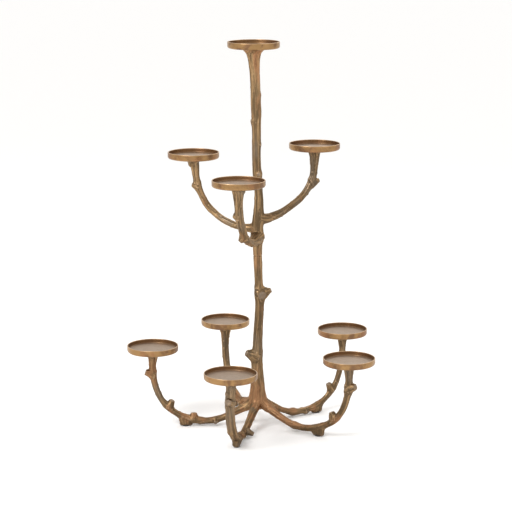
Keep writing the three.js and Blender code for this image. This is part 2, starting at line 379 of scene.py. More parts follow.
def coordinates(mesh: bpy.types.Mesh) -> np.ndarray:
    """The mesh's vertex positions, (n, 3)."""
    return read_vectors(mesh.vertices, "co")


def set_coordinates(mesh: bpy.types.Mesh, points: np.ndarray) -> None:
    """Moves the mesh's vertices."""
    mesh.vertices.foreach_set("co", points.astype(np.float32).ravel())
    mesh.update()


def vertex_normals(mesh: bpy.types.Mesh) -> np.ndarray:
    """The mesh's vertex normals, (n, 3)."""
    return read_vectors(mesh.vertex_normals, "vector")


def store(mesh: bpy.types.Mesh, name: str, values: np.ndarray) -> None:
    """Writes a per-vertex attribute.

    Args:
        mesh: The mesh.
        name: The attribute's name.
        values: A number for each vertex, (n,), or a vector for each, (n, 3).
    """
    kind, key = ("FLOAT", "value") if values.ndim == 1 else ("FLOAT_VECTOR", "vector")
    layer = mesh.attributes.new(name, kind, "POINT")
    layer.data.foreach_set(key, values.astype(np.float32).ravel())


class Links:
    """Which vertices of a mesh are joined by an edge."""

    def __init__(self, mesh: bpy.types.Mesh) -> None:
        """Reads the mesh's edges once.

        Args:
            mesh: The mesh.
        """
        flat = np.empty(len(mesh.edges) * 2, np.int32)
        mesh.edges.foreach_get("vertices", flat)
        self.one, self.two = flat.reshape(-1, 2).T
        self.count = len(mesh.vertices)
        self.degree = np.maximum(np.bincount(flat, minlength=self.count), 1)

    def mean(self, values: np.ndarray) -> np.ndarray:
        """The average of each vertex's neighbours: their sum over their number.

        Args:
            values: One value or row of values for each vertex, (n,) or (n, k).

        Returns:
            The averages, in the same shape.
        """
        columns = values.reshape(self.count, -1)
        total = [
            np.bincount(self.one, column[self.two], self.count)
            + np.bincount(self.two, column[self.one], self.count)
            for column in columns.T
        ]
        return (np.stack(total, axis=1) / self.degree[:, None]).reshape(values.shape)

    def relax(self, values: np.ndarray, rounds: int, share: float = 0.5) -> np.ndarray:
        """The values drawn towards their neighbours' average, a number of times.

        Args:
            values: One value or row of values for each vertex.
            rounds: How many times.
            share: How far towards the average each time, from 0 to 1.

        Returns:
            The smoothed values.
        """
        for _ in range(rounds):
            values = values + share * (self.mean(values) - values)
        return values


def add_object(mesh: bpy.types.Mesh, name: str) -> bpy.types.Object:
    """An object at the origin that shows the mesh.

    Args:
        mesh: The mesh.
        name: The object's name.

    Returns:
        The object, in the scene.
    """
    piece = bpy.data.objects.new(name, mesh)
    bpy.context.scene.collection.objects.link(piece)
    return piece


def hand_over(mesh: bpy.types.Mesh, name: str, node: str) -> bpy.types.Object:
    """Puts a finished mesh on the frame in place of its CAD node.

    Args:
        mesh: The mesh, with its finish.
        name: The piece's name.
        node: The CAD node that it stands for.

    Returns:
        The piece.
    """
    piece = add_object(mesh, name)
    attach(piece, BODY)
    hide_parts(node)
    LOG.info("%s: %d faces", name, len(mesh.polygons))
    return piece


def fused(bars: Sequence[Bar], voxel: float) -> bpy.types.Mesh:
    """One closed skin round several overlapping bars.

    Args:
        bars: The bars, each a closed grid.
        voxel: The skin's cell size in metres.

    Returns:
        The fused mesh.
    """
    vertices = []
    corners = []
    sizes = []
    base = 0
    for bar in bars:
        points, faces, counts = bar.skin()
        vertices.append(points)
        corners.append(faces + base)
        sizes += counts
        base += len(points)
    rough = new_mesh("rough", np.concatenate(vertices), np.concatenate(corners), sizes)
    holder = add_object(rough, "rough")
    remesh = holder.modifiers.new("skin", "REMESH")
    remesh.mode = "VOXEL"
    remesh.voxel_size = voxel
    graph = bpy.context.evaluated_depsgraph_get()
    mesh = bpy.data.meshes.new_from_object(holder.evaluated_get(graph))
    bpy.data.objects.remove(holder)
    bpy.data.meshes.remove(rough)
    mesh.materials.clear()
    return mesh


# ---- node building -------------------------------------------------------------------------------


class Graph:
    """A thin wrapper that adds shader nodes to a tree and links them in one call."""

    def __init__(self, tree: bpy.types.NodeTree) -> None:
        """Works on one node tree."""
        self.tree = tree

    def feed(self, socket: Socket, value: object) -> None:
        """Links a socket to another, or sets its value."""
        if isinstance(value, Socket):
            self.tree.links.new(value, socket)
        else:
            socket.default_value = value

    def node(self, kind: str, inputs: dict | None = None, **settings: object) -> bpy.types.Node:
        """A new node with its properties set and its inputs fed.

        Args:
            kind: The node's type name.
            inputs: Socket name or number to a value or another socket.
            **settings: The node's own properties.

        Returns:
            The node.
        """
        made = self.tree.nodes.new(kind)
        for key, value in settings.items():
            setattr(made, key, value)
        for key, value in (inputs or {}).items():
            self.feed(made.inputs[key], value)
        return made

    def math(self, operation: str, *values: object, clamp: bool = False) -> Socket:
        """A Math node's result, from its operation and its values in order."""
        inputs = dict(enumerate(values))
        return self.node("ShaderNodeMath", inputs, operation=operation, use_clamp=clamp).outputs[0]

    def scaled(self, vector: Socket, scale: tuple[float, float, float]) -> Socket:
        """A vector stretched along its own axes."""
        inputs = {"Vector": vector, "Scale": scale}
        return self.node("ShaderNodeMapping", inputs).outputs[0]

    def noise(self, vector: Socket, scale: object, detail: float = 3.0, roughness: float = 0.55,
              distortion: float = 0.0) -> Socket:
        """A Noise Texture's value, with its settings named as on the node."""
        inputs = {"Vector": vector, "Scale": scale, "Detail": detail, "Roughness": roughness,
                  "Distortion": distortion}
        return self.node("ShaderNodeTexNoise", inputs).outputs[0]

    def span(self, value: Socket, low: object, high: object, to_low: float = 0.0,
             to_high: float = 1.0) -> Socket:
        """A value mapped from one range to another with an ease in and out.

        Args:
            value: What is mapped.
            low: The value that gives to_low.
            high: The value that gives to_high; it may be the smaller of the two.
            to_low: The result at low.
            to_high: The result at high.

        Returns:
            The result.
        """
        inputs = {"Value": value, 1: low, 2: high, 3: to_low, 4: to_high}
        made = self.node("ShaderNodeMapRange", inputs, interpolation_type="SMOOTHSTEP")
        return made.outputs[0]

    def mix(self, share: Socket, one: object, two: object, blend: str = "MIX") -> Socket:
        """Two colours mixed by a share.

        Args:
            share: How much of the second colour, from 0 to 1.
            one: The first colour.
            two: The second colour.
            blend: How the second is laid over the first.

        Returns:
            The mixed colour.
        """
        made = self.node("ShaderNodeMix", data_type="RGBA", blend_type=blend, clamp_factor=True)
        self.feed(made.inputs[0], share)
        self.feed(made.inputs[6], one)
        self.feed(made.inputs[7], two)
        return made.outputs[2]

    def attribute(self, name: str, output: str = "Fac") -> Socket:
        """A per-vertex attribute of the piece."""
        return self.node("ShaderNodeAttribute", attribute_name=name).outputs[output]

    def bump(self, height: Socket, distance: float, strength: float = 1.0,
             normal: Socket | None = None) -> Socket:
        """A Bump node's normal.

        Args:
            height: The relief, from 0 to 1.
            distance: The height of 1, in metres.
            strength: How much of it shows.
            normal: Another bump's normal to build on.

        Returns:
            The normal.
        """
        inputs = {"Height": height, "Distance": distance, "Strength": strength}
        if normal is not None:
            inputs["Normal"] = normal
        return self.node("ShaderNodeBump", inputs).outputs[0]

    def group(self, made: bpy.types.NodeTree, inputs: dict) -> dict[str, Socket]:
        """Places a node group.

        Args:
            made: The group.
            inputs: Socket name to a value or another socket.

        Returns:
            The group's outputs by name.
        """
        holder = self.node("ShaderNodeGroup")
        holder.node_tree = made
        for key, value in inputs.items():
            self.feed(holder.inputs[key], value)
        return {output.name: output for output in holder.outputs}


def grey(level: float) -> tuple[float, float, float, float]:
    """An opaque neutral colour."""
    return (level, level, level, 1.0)


def new_group(
    name: str, inputs: dict[str, tuple[str, object]], outputs: dict[str, str],
) -> tuple[bpy.types.NodeTree, Graph, dict[str, Socket], bpy.types.Node]:
    """An empty shader node group with named sockets.

    Args:
        name: The group's name.
        inputs: Socket name to its type and default, or None for no default.
        outputs: Socket name to its type.

    Returns:
        The group, its Graph, its input sockets by name, and its Group Output node.
    """
    tree = bpy.data.node_groups.new(name, "ShaderNodeTree")
    for key, (kind, default) in inputs.items():
        socket = tree.interface.new_socket(key, in_out="INPUT", socket_type=kind)
        if default is not None:
            socket.default_value = default
    for key, kind in outputs.items():
        tree.interface.new_socket(key, in_out="OUTPUT", socket_type=kind)
    graph = Graph(tree)
    entry = tree.nodes.new("NodeGroupInput")
    leave = tree.nodes.new("NodeGroupOutput")
    return tree, graph, {output.name: output for output in entry.outputs}, leave


FLOAT = "NodeSocketFloat"
VECTOR = "NodeSocketVector"


class Effects:
    """The node groups that several finishes share, each built once."""

    def __init__(self) -> None:
        """Builds every group."""
        self.streaks = self._streaks()
        self.tarnish = self._tarnish()
        self.wear = self._wear()
        self.grit = self._grit()

    @staticmethod
    def _streaks() -> bpy.types.NodeTree:
        """Long fibres that run the third way of their vector: fine noise squeezed along it.

        Returns:
            The group.
        """
        tree, graph, given, leave = new_group(
            "Lengthwise streaks",
            {"Vector": (VECTOR, None), "Across": (FLOAT, 900.0), "Stretch": (FLOAT, 0.12)},
            {"Value": FLOAT, "Broad": FLOAT},
        )
        parts = graph.node("ShaderNodeSeparateXYZ", {0: given["Vector"]}).outputs
        along = graph.math("MULTIPLY", parts[2], given["Stretch"])
        squeezed = graph.node("ShaderNodeCombineXYZ", {0: parts[0], 1: parts[1], 2: along}).outputs[0]
        fine = graph.noise(squeezed, given["Across"], 4.0, 0.6, 0.4)
        third = graph.math("MULTIPLY", given["Across"], 0.3)
        broad = graph.noise(squeezed, third, 2.0, 0.5, 0.6)
        graph.feed(leave.inputs["Value"], fine)
        graph.feed(leave.inputs["Broad"], broad)
        return tree

    @staticmethod
    def _tarnish() -> bpy.types.NodeTree:
        """Dark tarnish: it fills hollows first and drifts in soft patches elsewhere.

        Returns:
            The group.
        """
        tree, graph, given, leave = new_group(
            "Tarnish",
            {"Vector": (VECTOR, None), "Crest": (FLOAT, 0.5), "Scale": (FLOAT, 60.0),
             "Amount": (FLOAT, 0.5)},
            {"Mask": FLOAT},
        )
        patches = graph.noise(given["Vector"], given["Scale"], 5.0, 0.6, 0.3)
        drift = graph.span(patches, 0.36, 0.66)
        hollow = graph.span(given["Crest"], 0.5, 0.1)
        spread = graph.math("MULTIPLY", drift, given["Amount"])
        mask = graph.math("ADD", hollow, graph.math("MULTIPLY", spread, 0.75), clamp=True)
        graph.feed(leave.inputs["Mask"], mask)
        return tree

    @staticmethod
    def _wear() -> bpy.types.NodeTree:
        """Rubbed metal on crests, broken up by noise so that it isn't an even outline.

        Returns:
            The group.
        """
        tree, graph, given, leave = new_group(
            "Edge wear",
            {"Vector": (VECTOR, None), "Crest": (FLOAT, 0.5), "Start": (FLOAT, 0.6),
             "Scale": (FLOAT, 250.0)},
            {"Mask": FLOAT},
        )
        broken = graph.noise(given["Vector"], given["Scale"], 4.0, 0.65)
        shifted = graph.math("ADD", given["Crest"], graph.math("MULTIPLY", broken, 0.5))
        low = graph.math("ADD", given["Start"], 0.2)
        high = graph.math("ADD", given["Start"], 0.5)
        graph.feed(leave.inputs["Mask"], graph.span(shifted, low, high))
        return tree

    @staticmethod
    def _grit() -> bpy.types.NodeTree:
        """Cast skin: soft pits and grains at two sizes, as a height from 0 to 1.

        Returns:
            The group.
        """
        tree, graph, given, leave = new_group(
            "Cast grit",
            {"Vector": (VECTOR, None), "Scale": (FLOAT, 900.0)},
            {"Height": FLOAT},
        )
        coarse = graph.noise(given["Vector"], given["Scale"], 4.0, 0.6)
        finer = graph.math("MULTIPLY", given["Scale"], 2.6)
        fine = graph.noise(given["Vector"], finer, 2.0, 0.5)
        low = graph.math("MULTIPLY", coarse, 0.65)
        graph.feed(leave.inputs["Height"], graph.math("ADD", low, graph.math("MULTIPLY", fine, 0.35)))
        return tree


# ---- finishes ------------------------------------------------------------------------------------


def shader_graph(name: str) -> tuple[bpy.types.Material, Graph, bpy.types.Node]:
    """A new material, ready for its nodes.

    Args:
        name: The material's name.

    Returns:
        The material, its Graph and its Principled BSDF.
    """
    material = bpy.data.materials.new(name)
    material.use_nodes = True
    graph = Graph(material.node_tree)
    shader = material.node_tree.nodes["Principled BSDF"]
    return material, graph, shader


@dataclass(frozen=True)
class BarkBrass:
    """Antique brass on a bark-textured casting: dark hollows, rubbed ridges, grey sawn ends.

    The shares say how much of each colour shows where its mask is full, and the reliefs are the
    heights of the bump in mm.
    """

    hollow: Colour = (0.086, 0.053, 0.024, 1.0)
    umber: Colour = (0.158, 0.110, 0.060, 1.0)
    body: Colour = (0.345, 0.212, 0.112, 1.0)
    ochre: Colour = (0.585, 0.375, 0.185, 1.0)
    russet: Colour = (0.560, 0.268, 0.128, 1.0)
    taupe: Colour = (0.275, 0.222, 0.165, 1.0)
    rubbed: Colour = (0.760, 0.515, 0.315, 1.0)
    sawn: Colour = (0.375, 0.325, 0.270, 1.0)
    veil: Colour = (0.360, 0.360, 0.375, 1.0)
    edge: Colour = (0.880, 0.760, 0.640, 1.0)
    body_share: float = 0.25
    russet_share: float = 0.65
    taupe_share: float = 0.5
    streak_share: float = 0.45
    tarnish_share: float = 0.55
    rubbed_share: float = 0.6
    sawn_share: float = 0.8
    veil_share: float = 0.70
    blush_swing: float = 0.32
    fibre_relief: float = 0.45
    grit_relief: float = 0.16

    def material(self, effects: Effects) -> bpy.types.Material:
        """Builds the finish.

        Args:
            effects: The shared node groups.

        Returns:
            The material.
        """
        material, graph, shader = shader_graph("bark brass")
        grain = graph.attribute("grain", "Vector")
        crest = graph.attribute("crest")
        sawn = graph.attribute("sawn")
        # Grey veil by height: partly each casting's own tone, partly painted shade on the lower parts.
        patina = graph.attribute("patina")
        spot = graph.node("ShaderNodeTexCoord").outputs["Object"]
        fibre = graph.group(effects.streaks, {"Vector": grain, "Across": 900.0, "Stretch": 0.05})
        drawn = graph.scaled(spot, (1.0, 1.0, 0.4))
        tarnish = graph.group(
            effects.tarnish, {"Vector": drawn, "Crest": crest, "Scale": 36.0, "Amount": 0.38},
        )
        wear = graph.group(
            effects.wear, {"Vector": grain, "Crest": crest, "Start": 0.72, "Scale": 260.0},
        )
        grit = graph.group(effects.grit, {"Vector": spot, "Scale": 1100.0})
        warm = graph.mix(graph.span(fibre["Broad"], 0.42, 0.62), self.umber, self.ochre)
        even = graph.mix(self.body_share, warm, self.body)
        swing = self.blush_swing
        blush = graph.math("MULTIPLY_ADD", graph.attribute("blush"), swing, -swing / 2.0)
        shifted = graph.math("ADD", graph.noise(drawn, 32.0, 4.0, 0.6, 0.8), blush)
        reddish = graph.span(shifted, 0.50, 0.66)
        red = graph.mix(graph.math("MULTIPLY", reddish, self.russet_share), even, self.russet)
        chill = graph.noise(graph.scaled(spot, (1.3, 1.3, 0.5)), 36.0, 4.0)
        cool = graph.span(graph.math("SUBTRACT", chill, blush), 0.54, 0.68)
        greyed = graph.mix(graph.math("MULTIPLY", cool, self.taupe_share), red, self.taupe)
        streak = graph.span(fibre["Value"], 0.60, 0.36, 0.0, self.streak_share)
        streaked = graph.mix(streak, greyed, self.hollow)
        film = graph.math("MULTIPLY", tarnish["Mask"], self.tarnish_share)
        dark = graph.mix(film, streaked, self.hollow)
        bright = graph.mix(graph.math("MULTIPLY", wear["Mask"], self.rubbed_share), dark, self.rubbed)
        mottle = graph.mix(graph.span(grit["Height"], 0.35, 0.65), self.sawn, self.body)
        cut = graph.mix(graph.math("MULTIPLY", sawn, self.sawn_share), bright, mottle)
        # Multiplies in the veil, which is partly painted shade.
        veiled = graph.math("MULTIPLY", patina, self.veil_share)
        colour = graph.mix(veiled, cut, self.veil, "MULTIPLY")
        graph.feed(shader.inputs["Base Color"], colour)
        graph.feed(shader.inputs["Metallic"], graph.span(tarnish["Mask"], 0.0, 1.0, 0.92, 0.74))
        film_rough = graph.span(tarnish["Mask"], 0.0, 1.0, 0.34, 0.58)
        rough = graph.math("ADD", film_rough, graph.math("MULTIPLY", grit["Height"], 0.12))
        smoothed = graph.math("SUBTRACT", rough, graph.math("MULTIPLY", wear["Mask"], 0.1))
        graph.feed(shader.inputs["Roughness"], smoothed)
        shader.inputs["Specular Tint"].default_value = self.edge
        relief = graph.bump(fibre["Value"], self.fibre_relief * MM, 0.7)
        skin = graph.bump(grit["Height"], self.grit_relief * MM, 0.6, relief)
        graph.feed(shader.inputs["Normal"], skin)
        return material


@dataclass(frozen=True)
class TurnedBrass:
    """Satin antique brass on the turned pans: golden rim, browned wall with painted shade on its inner
    side, and a pale floor whose paler colour is a painted reflection of the bright surround.

    The shares say how much of each colour shows where its mask is full, and relief is the height
    of the turned lines and of the grit in mm.
    """

    gold: Colour = (0.385, 0.225, 0.095, 1.0)
    brown: Colour = (0.215, 0.118, 0.060, 1.0)
    # Paler floor colour: a painted reflection of the bright surround.
    floor: Colour = (0.400, 0.315, 0.245, 1.0)
    dark: Colour = (0.090, 0.052, 0.028, 1.0)
    copper: Colour = (0.330, 0.160, 0.075, 1.0)
    rubbed: Colour = (0.560, 0.390, 0.240, 1.0)
    copper_share: float = 0.7
    # How far the inner wall is darkened: painted shade inside the pan.
    inner_shade_share: float = 0.65
    tarnish_share: float = 0.6
    line_share: float = 0.16
    rubbed_share: float = 0.8
    relief: float = 0.05

    def material(self, effects: Effects) -> bpy.types.Material:
        """Builds the finish.

        Args:
            effects: The shared node groups.

        Returns:
            The material.
        """
        material, graph, shader = shader_graph("turned brass")
        spot = graph.attribute("spot", "Vector")
        level = graph.attribute("level")
        crest = graph.attribute("crest")
        parts = graph.node("ShaderNodeSeparateXYZ", {0: spot}).outputs
        squares = [graph.math("MULTIPLY", parts[axis], parts[axis]) for axis in (0, 1)]
        ring = graph.math("SQRT", graph.math("ADD", *squares))
        turned = graph.node("ShaderNodeCombineXYZ", {0: ring, 1: parts[2]}).outputs[0]
        lathe = graph.noise(turned, 900.0, 4.0, 0.6)
        cloud = graph.noise(spot, 45.0, 4.0, 0.6, 0.5)
        tarnish = graph.group(
            effects.tarnish, {"Vector": spot, "Crest": crest, "Scale": 70.0, "Amount": 0.25},
        )
        wear = graph.group(
            effects.wear, {"Vector": spot, "Crest": crest, "Start": 0.70, "Scale": 75.0},
        )
        grit = graph.group(effects.grit, {"Vector": spot, "Scale": 1500.0})
        plain = graph.mix(graph.span(cloud, 0.44, 0.64), self.gold, self.brown)
        ruddy = graph.span(graph.noise(spot, 26.0, 3.0, 0.6, 0.4), 0.52, 0.64)
        wall = graph.mix(graph.math("MULTIPLY", ruddy, self.copper_share), plain, self.copper)
        # The floor's paler colour is a painted reflection of the surround on the up-facing floor.
        base = graph.mix(level, wall, self.floor)
        inside = graph.attribute("inside")
        # Darkens the inner wall towards brown: painted shade inside the pan.
        shaded = graph.mix(graph.math("MULTIPLY", inside, self.inner_shade_share), base, self.brown)
        film = graph.math("MULTIPLY", tarnish["Mask"], self.tarnish_share)
        dulled = graph.mix(film, shaded, self.dark)
        lined = graph.mix(graph.span(lathe, 0.35, 0.65, 0.0, self.line_share), dulled, self.dark)
        colour = graph.mix(graph.math("MULTIPLY", wear["Mask"], self.rubbed_share), lined, self.rubbed)
        graph.feed(shader.inputs["Base Color"], colour)
        graph.feed(shader.inputs["Metallic"], graph.span(tarnish["Mask"], 0.0, 1.0, 0.95, 0.7))
        satin = graph.span(cloud, 0.3, 0.7, 0.28, 0.40)
        rough = graph.math("ADD", satin, graph.math("MULTIPLY", level, 0.26))
        graph.feed(shader.inputs["Roughness"], rough)
        lines = graph.bump(lathe, self.relief * MM, 0.5)
        graph.feed(shader.inputs["Normal"], graph.bump(grit["Height"], self.relief * MM, 0.5, lines))
        return material


@dataclass(frozen=True)
class ZincSteel:
    """Plain zinc-plated steel of the hidden studs, with fine turned lines and dull specks."""

    bright: Colour = (0.56, 0.57, 0.58, 1.0)
    dull: Colour = (0.30, 0.30, 0.31, 1.0)

    def material(self, effects: Effects) -> bpy.types.Material:
        """Builds the finish.

        Args:
            effects: The shared node groups.

        Returns:
            The material.
        """
        material, graph, shader = shader_graph("zinc steel")
        spot = graph.node("ShaderNodeTexCoord").outputs["Object"]
        grit = graph.group(effects.grit, {"Vector": spot, "Scale": 1400.0})
        share = graph.span(grit["Height"], 0.4, 0.65)
        graph.feed(shader.inputs["Base Color"], graph.mix(share, self.bright, self.dull))
        graph.feed(shader.inputs["Roughness"], graph.span(grit["Height"], 0.3, 0.7, 0.3, 0.5))
        graph.feed(shader.inputs["Normal"], graph.bump(grit["Height"], 0.05 * MM, 0.5))
        shader.inputs["Metallic"].default_value = 1.0
        return material


@dataclass(frozen=True)
class WoolFelt:
    """Dark brown pressed felt: short matted fibres with paler flecks."""

    dark: Colour = (0.030, 0.022, 0.016, 1.0)
    fleck: Colour = (0.110, 0.085, 0.065, 1.0)

    def material(self, effects: Effects) -> bpy.types.Material:
        """Builds the finish.

        Args:
            effects: The shared node groups.

        Returns:
            The material.
        """
        material, graph, shader = shader_graph("wool felt")
        spot = graph.node("ShaderNodeTexCoord").outputs["Object"]
        fibre = graph.group(effects.streaks, {"Vector": spot, "Across": 1800.0, "Stretch": 0.6})
        share = graph.span(fibre["Value"], 0.52, 0.75)
        graph.feed(shader.inputs["Base Color"], graph.mix(share, self.dark, self.fleck))
        graph.feed(shader.inputs["Normal"], graph.bump(fibre["Value"], 0.25 * MM, 0.8))
        shader.inputs["Roughness"].default_value = 0.95
        shader.inputs["Sheen Weight"].default_value = 0.4
        return material


@dataclass(frozen=True)
class PaleFloor:
    """The plain pale surface that the candelabra stands on."""

    tone: float = 0.92

    def material(self) -> bpy.types.Material:
        """Builds the finish.

        Returns:
            The material.
        """
        material, _, shader = shader_graph("pale floor")
        shader.inputs["Base Color"].default_value = grey(self.tone)
        shader.inputs["Roughness"].default_value = 0.9
        return material


# ---- castings ------------------------------------------------------------------------------------


class Skin(Enum):
    """How finely a casting is skinned: (cell size in mm, rounds of smoothing)."""

    FINE = (0.6, 5)
    DRAFT = (1.0, 2)


@dataclass
class Casting:
    """A bark-textured casting: overlapping bars fused into one skin, then given relief.

    ridge, lumps and nubs are heights in mm, fillet is the softness of the joints between bars in
    mm, and knobs are (x, y, z, size) in mm. The veil and blush stations hold (height, value) pairs,
    with the height in mm: how veiled the metal is, and how far it leans to red. The veil is partly
    the casting's own tone and partly painted shade, darker low down and lighter towards the top. A
    cell is the size of one noise cell in mm: its width across the fibres and its length along them,
    or one size.
    """

    RIDGE_CELL = (3.4, 42.0)
    CRACK_CELL = (1.5, 13.0)
    NUB_CELL = (4.6, 7.5)
    LUMP_CELL = 11.0
    WARP_CELL = 14.0
    WARP = 0.8
    NUB_START = 0.46
    NUB_FULL = 0.85
    GIRTH_OF_FULL_BARK = 6.0
    CRACK_HEIGHT = 0.07
    KNOB_HEIGHT = 0.42
    CREST_ROUNDS = 12
    CREST_HEIGHT = 0.28
    BAR_SHIFT = 0.05
    SEED_SHIFT = 0.37

    node: str
    bars: list[Bar]
    seed: int
    ridge: float = 0.34
    lumps: float = 0.42
    nubs: float = 0.75
    fillet: float = 2.4
    knobs: list[tuple[float, float, float, float]] = field(default_factory=list)
    patina: Stations = ((0.0, 0.5),)
    blush: Stations = ((0.0, 0.5),)

    def build(self, finish: bpy.types.Material) -> bpy.types.Object:
        """Makes the piece and hands it to the frame.

        Args:
            finish: The casting's material.

        Returns:
            The finished object.
        """
        cell, rounds = Skin.FINE.value
        mesh = fused(self.bars, cell * MM)
        links = Links(mesh)
        points = links.relax(coordinates(mesh), rounds)
        grain, sawn, swell, fill = self._grain(points)
        set_coordinates(mesh, points)
        normals = unit(links.relax(vertex_normals(mesh), rounds))
        points = links.relax(points + normals * fill[:, None], rounds)
        set_coordinates(mesh, points)
        normals = vertex_normals(mesh)
        height, ridges = self._relief(points, grain, sawn, swell)
        points = points + normals * height[:, None]
        set_coordinates(mesh, points)
        store(mesh, "grain", grain)
        # Stores the veil by height, which is partly painted shade, and the blush.
        for title, stations in (("patina", self.patina), ("blush", self.blush)):
            heights, depths = np.array(stations, float).T
            store(mesh, title, np.interp(points[:, 2] / MM, heights, depths))
        store(mesh, "sawn", links.relax(sawn, 2))
        store(mesh, "crest", self._crest(points, vertex_normals(mesh), links, ridges))
        mesh.polygons.foreach_set("use_smooth", np.ones(len(mesh.polygons), bool))
        mesh.materials.append(finish)
        mesh.name = self.node + "_casting"
        return hand_over(mesh, mesh.name, self.node)

    def _grain(self, points: np.ndarray) -> tuple[np.ndarray, ...]:
        """Follows the fibres of whichever bar each point lies on.

        Args:
            points: Vertex positions, (n, 3).

        Returns:
            The fibre coordinates (across, across, along) in metres, a mask of the sawn ends,
            each point's bar radius in metres, and how far to swell the skin where bars meet:
            the fillet size times the log of the summed exponentials of the bars' depths,
            fading to nothing at a sawn end.
        """
        best = np.full(len(points), np.inf)
        grain = np.zeros((len(points), 3))
        swell = np.zeros(len(points))
        sawn = np.zeros(len(points))
        depths = []
        calm = np.zeros(len(points))
        for index, bar in enumerate(self.bars):
            travel, angle, out = bar.locate(points)
            radius = bar.radius(np.clip(travel, 0.0, bar.path.length))
            low, high = bar.first * bar.path.length, bar.last * bar.path.length
            depth = np.maximum(out - radius, np.maximum(low - travel, travel - high))
            depths.append(depth)
            closer = depth < best
            offset = UP * (self.BAR_SHIFT * (index + 1) + self.SEED_SHIFT * self.seed)
            spun = np.stack([radius * np.cos(angle), radius * np.sin(angle), travel], axis=1)
            grain = np.where(closer[:, None], spun + offset, grain)
            swell = np.where(closer, radius, swell)
            best = np.minimum(best, depth)
            if bar.sawn:
                face, crisp = self._sawn_end(bar, travel, out, radius)
                sawn = np.maximum(sawn, face)
                calm = np.maximum(calm, crisp)
        fill = np.sum(np.exp((best - np.stack(depths)) / (self.fillet * MM)), axis=0)
        return grain, sawn, swell, self.fillet * MM * np.log(fill) * (1.0 - calm)

    @staticmethod
    def _sawn_end(
        bar: Bar, travel: np.ndarray, out: np.ndarray, radius: np.ndarray,
    ) -> tuple[np.ndarray, np.ndarray]:
        """Masks of a sawn end: products of eased steps along the bar and out from it.

        Args:
            bar: The sawn bar.
            travel: Each point's distance along it in metres, (n,).
            out: Each point's distance from its centre line, (n,).
            radius: The bar's radius there, (n,).

        Returns:
            The cut face, and the wider zone where the skin isn't swollen, each (n,).
        """
        end = bar.path.length * bar.last
        near = smoothstep(end - 1.5 * MM, end - 0.7 * MM, travel)
        face = near * (out < radius + 1.5 * MM) * (travel < end + 3 * MM)
        close = smoothstep(end - 3.5 * MM, end - 0.5 * MM, travel)
        close *= smoothstep(end + 6 * MM, end + 2 * MM, travel)
        return face, close * smoothstep(5 * MM, 2 * MM, out - radius)

    @staticmethod
    def _fibrous(fibre: np.ndarray, width: float, length: float) -> np.ndarray:
        """Fibre coordinates in cells of a width across the bar and a length along it."""
        return fibre / np.array([width, width, length])

    def _relief(
        self, points: np.ndarray, grain: np.ndarray, sawn: np.ndarray, swell: np.ndarray
    ) -> tuple[np.ndarray, np.ndarray]:
        """Bark: sharp lengthwise ridges, finer cracks, slow lumps, and named knobs.

        Ridges are 0.7 minus twice the size of a noise stretched along the fibres, cracks are a
        finer such noise, and nubs are the peaks of a shorter one. Lumps are a round noise in
        space, and a knob is a bell of its own size. Sawn ends get only faint lumps.

        Args:
            points: Vertex positions, (n, 3).
            grain: Fibre coordinates, (n, 3).
            sawn: Mask of the sawn ends, (n,).
            swell: Bar radius at each point, (n,).

        Returns:
            The height to add in metres, and the ridges alone, (n,).
        """
        fibre = grain / MM
        warp = self.WARP * layered(points / MM / self.WARP_CELL, self.seed + 3, 2)[:, None]
        long = self._fibrous(fibre, *self.RIDGE_CELL) + warp
        ridges = 0.7 - 2.0 * np.abs(layered(long, self.seed, 2))
        cracks = noise(self._fibrous(fibre, *self.CRACK_CELL), self.seed + 5)
        lump = layered(points / MM / self.LUMP_CELL, self.seed + 9, 2)
        peaks = noise(self._fibrous(fibre, *self.NUB_CELL), self.seed + 13)
        nubs = smoothstep(self.NUB_START, self.NUB_FULL, peaks)
        scale = np.clip(swell / (self.GIRTH_OF_FULL_BARK * MM), 0.7, 1.35)
        bark = self.ridge * ridges + self.CRACK_HEIGHT * cracks + self.nubs * nubs
        height = (1.0 - 0.85 * sawn) * scale * bark + (1.0 - 0.6 * sawn) * self.lumps * lump
        for x, y, z, size in self.knobs:
            gap = np.linalg.norm(points / MM - np.array([x, y, z]), axis=1) / size
            height = height + self.KNOB_HEIGHT * size * np.exp(-(gap**2))
        return height * MM, ridges

    def _crest(
        self, points: np.ndarray, normals: np.ndarray, links: Links, ridges: np.ndarray,
    ) -> np.ndarray:
        """How far each point stands proud of the skin round it, from 0 in a hollow to 1.

        It compares the surface with itself after smoothing, and adds a share of the ridges.

        Args:
            points: Vertex positions, (n, 3).
            normals: Vertex normals, (n, 3).
            links: The mesh's neighbours.
            ridges: The ridges alone, (n,).

        Returns:
            The crest values, (n,).
        """
        soft = links.relax(points, self.CREST_ROUNDS)
        proud = np.sum((points - soft) * normals, axis=1) / MM
        value = 0.5 + 0.5 * np.tanh(proud / self.CREST_HEIGHT) * 0.8 + 0.10 * ridges
        return np.clip(links.relax(value, 1), 0.0, 1.0)


def bearing(degrees: float) -> tuple[np.ndarray, np.ndarray]:
    """The directions of a limb that leaves the trunk at a bearing.

    Args:
        degrees: The bearing, turning from the front towards the right.

    Returns:
        The outward and the sideways unit vectors.
    """
    angle = math.radians(degrees)
    outward = np.array([math.sin(angle), -math.cos(angle), 0.0])
    return outward, np.array([math.cos(angle), math.sin(angle), 0.0])


def middle(node: str) -> np.ndarray:
    """The middle of a CAD node's box, in metres."""
    low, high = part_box(node)
    return (np.array(low) + np.array(high)) / 2.0


# Lengthwise lobes round every limb.
FLUTES = 5

# Heights in mm that the CAD fixes: a whole pan, and the top of a felt pad.
PAN_HEIGHT = 10.0
PAD_TOP = 1.2

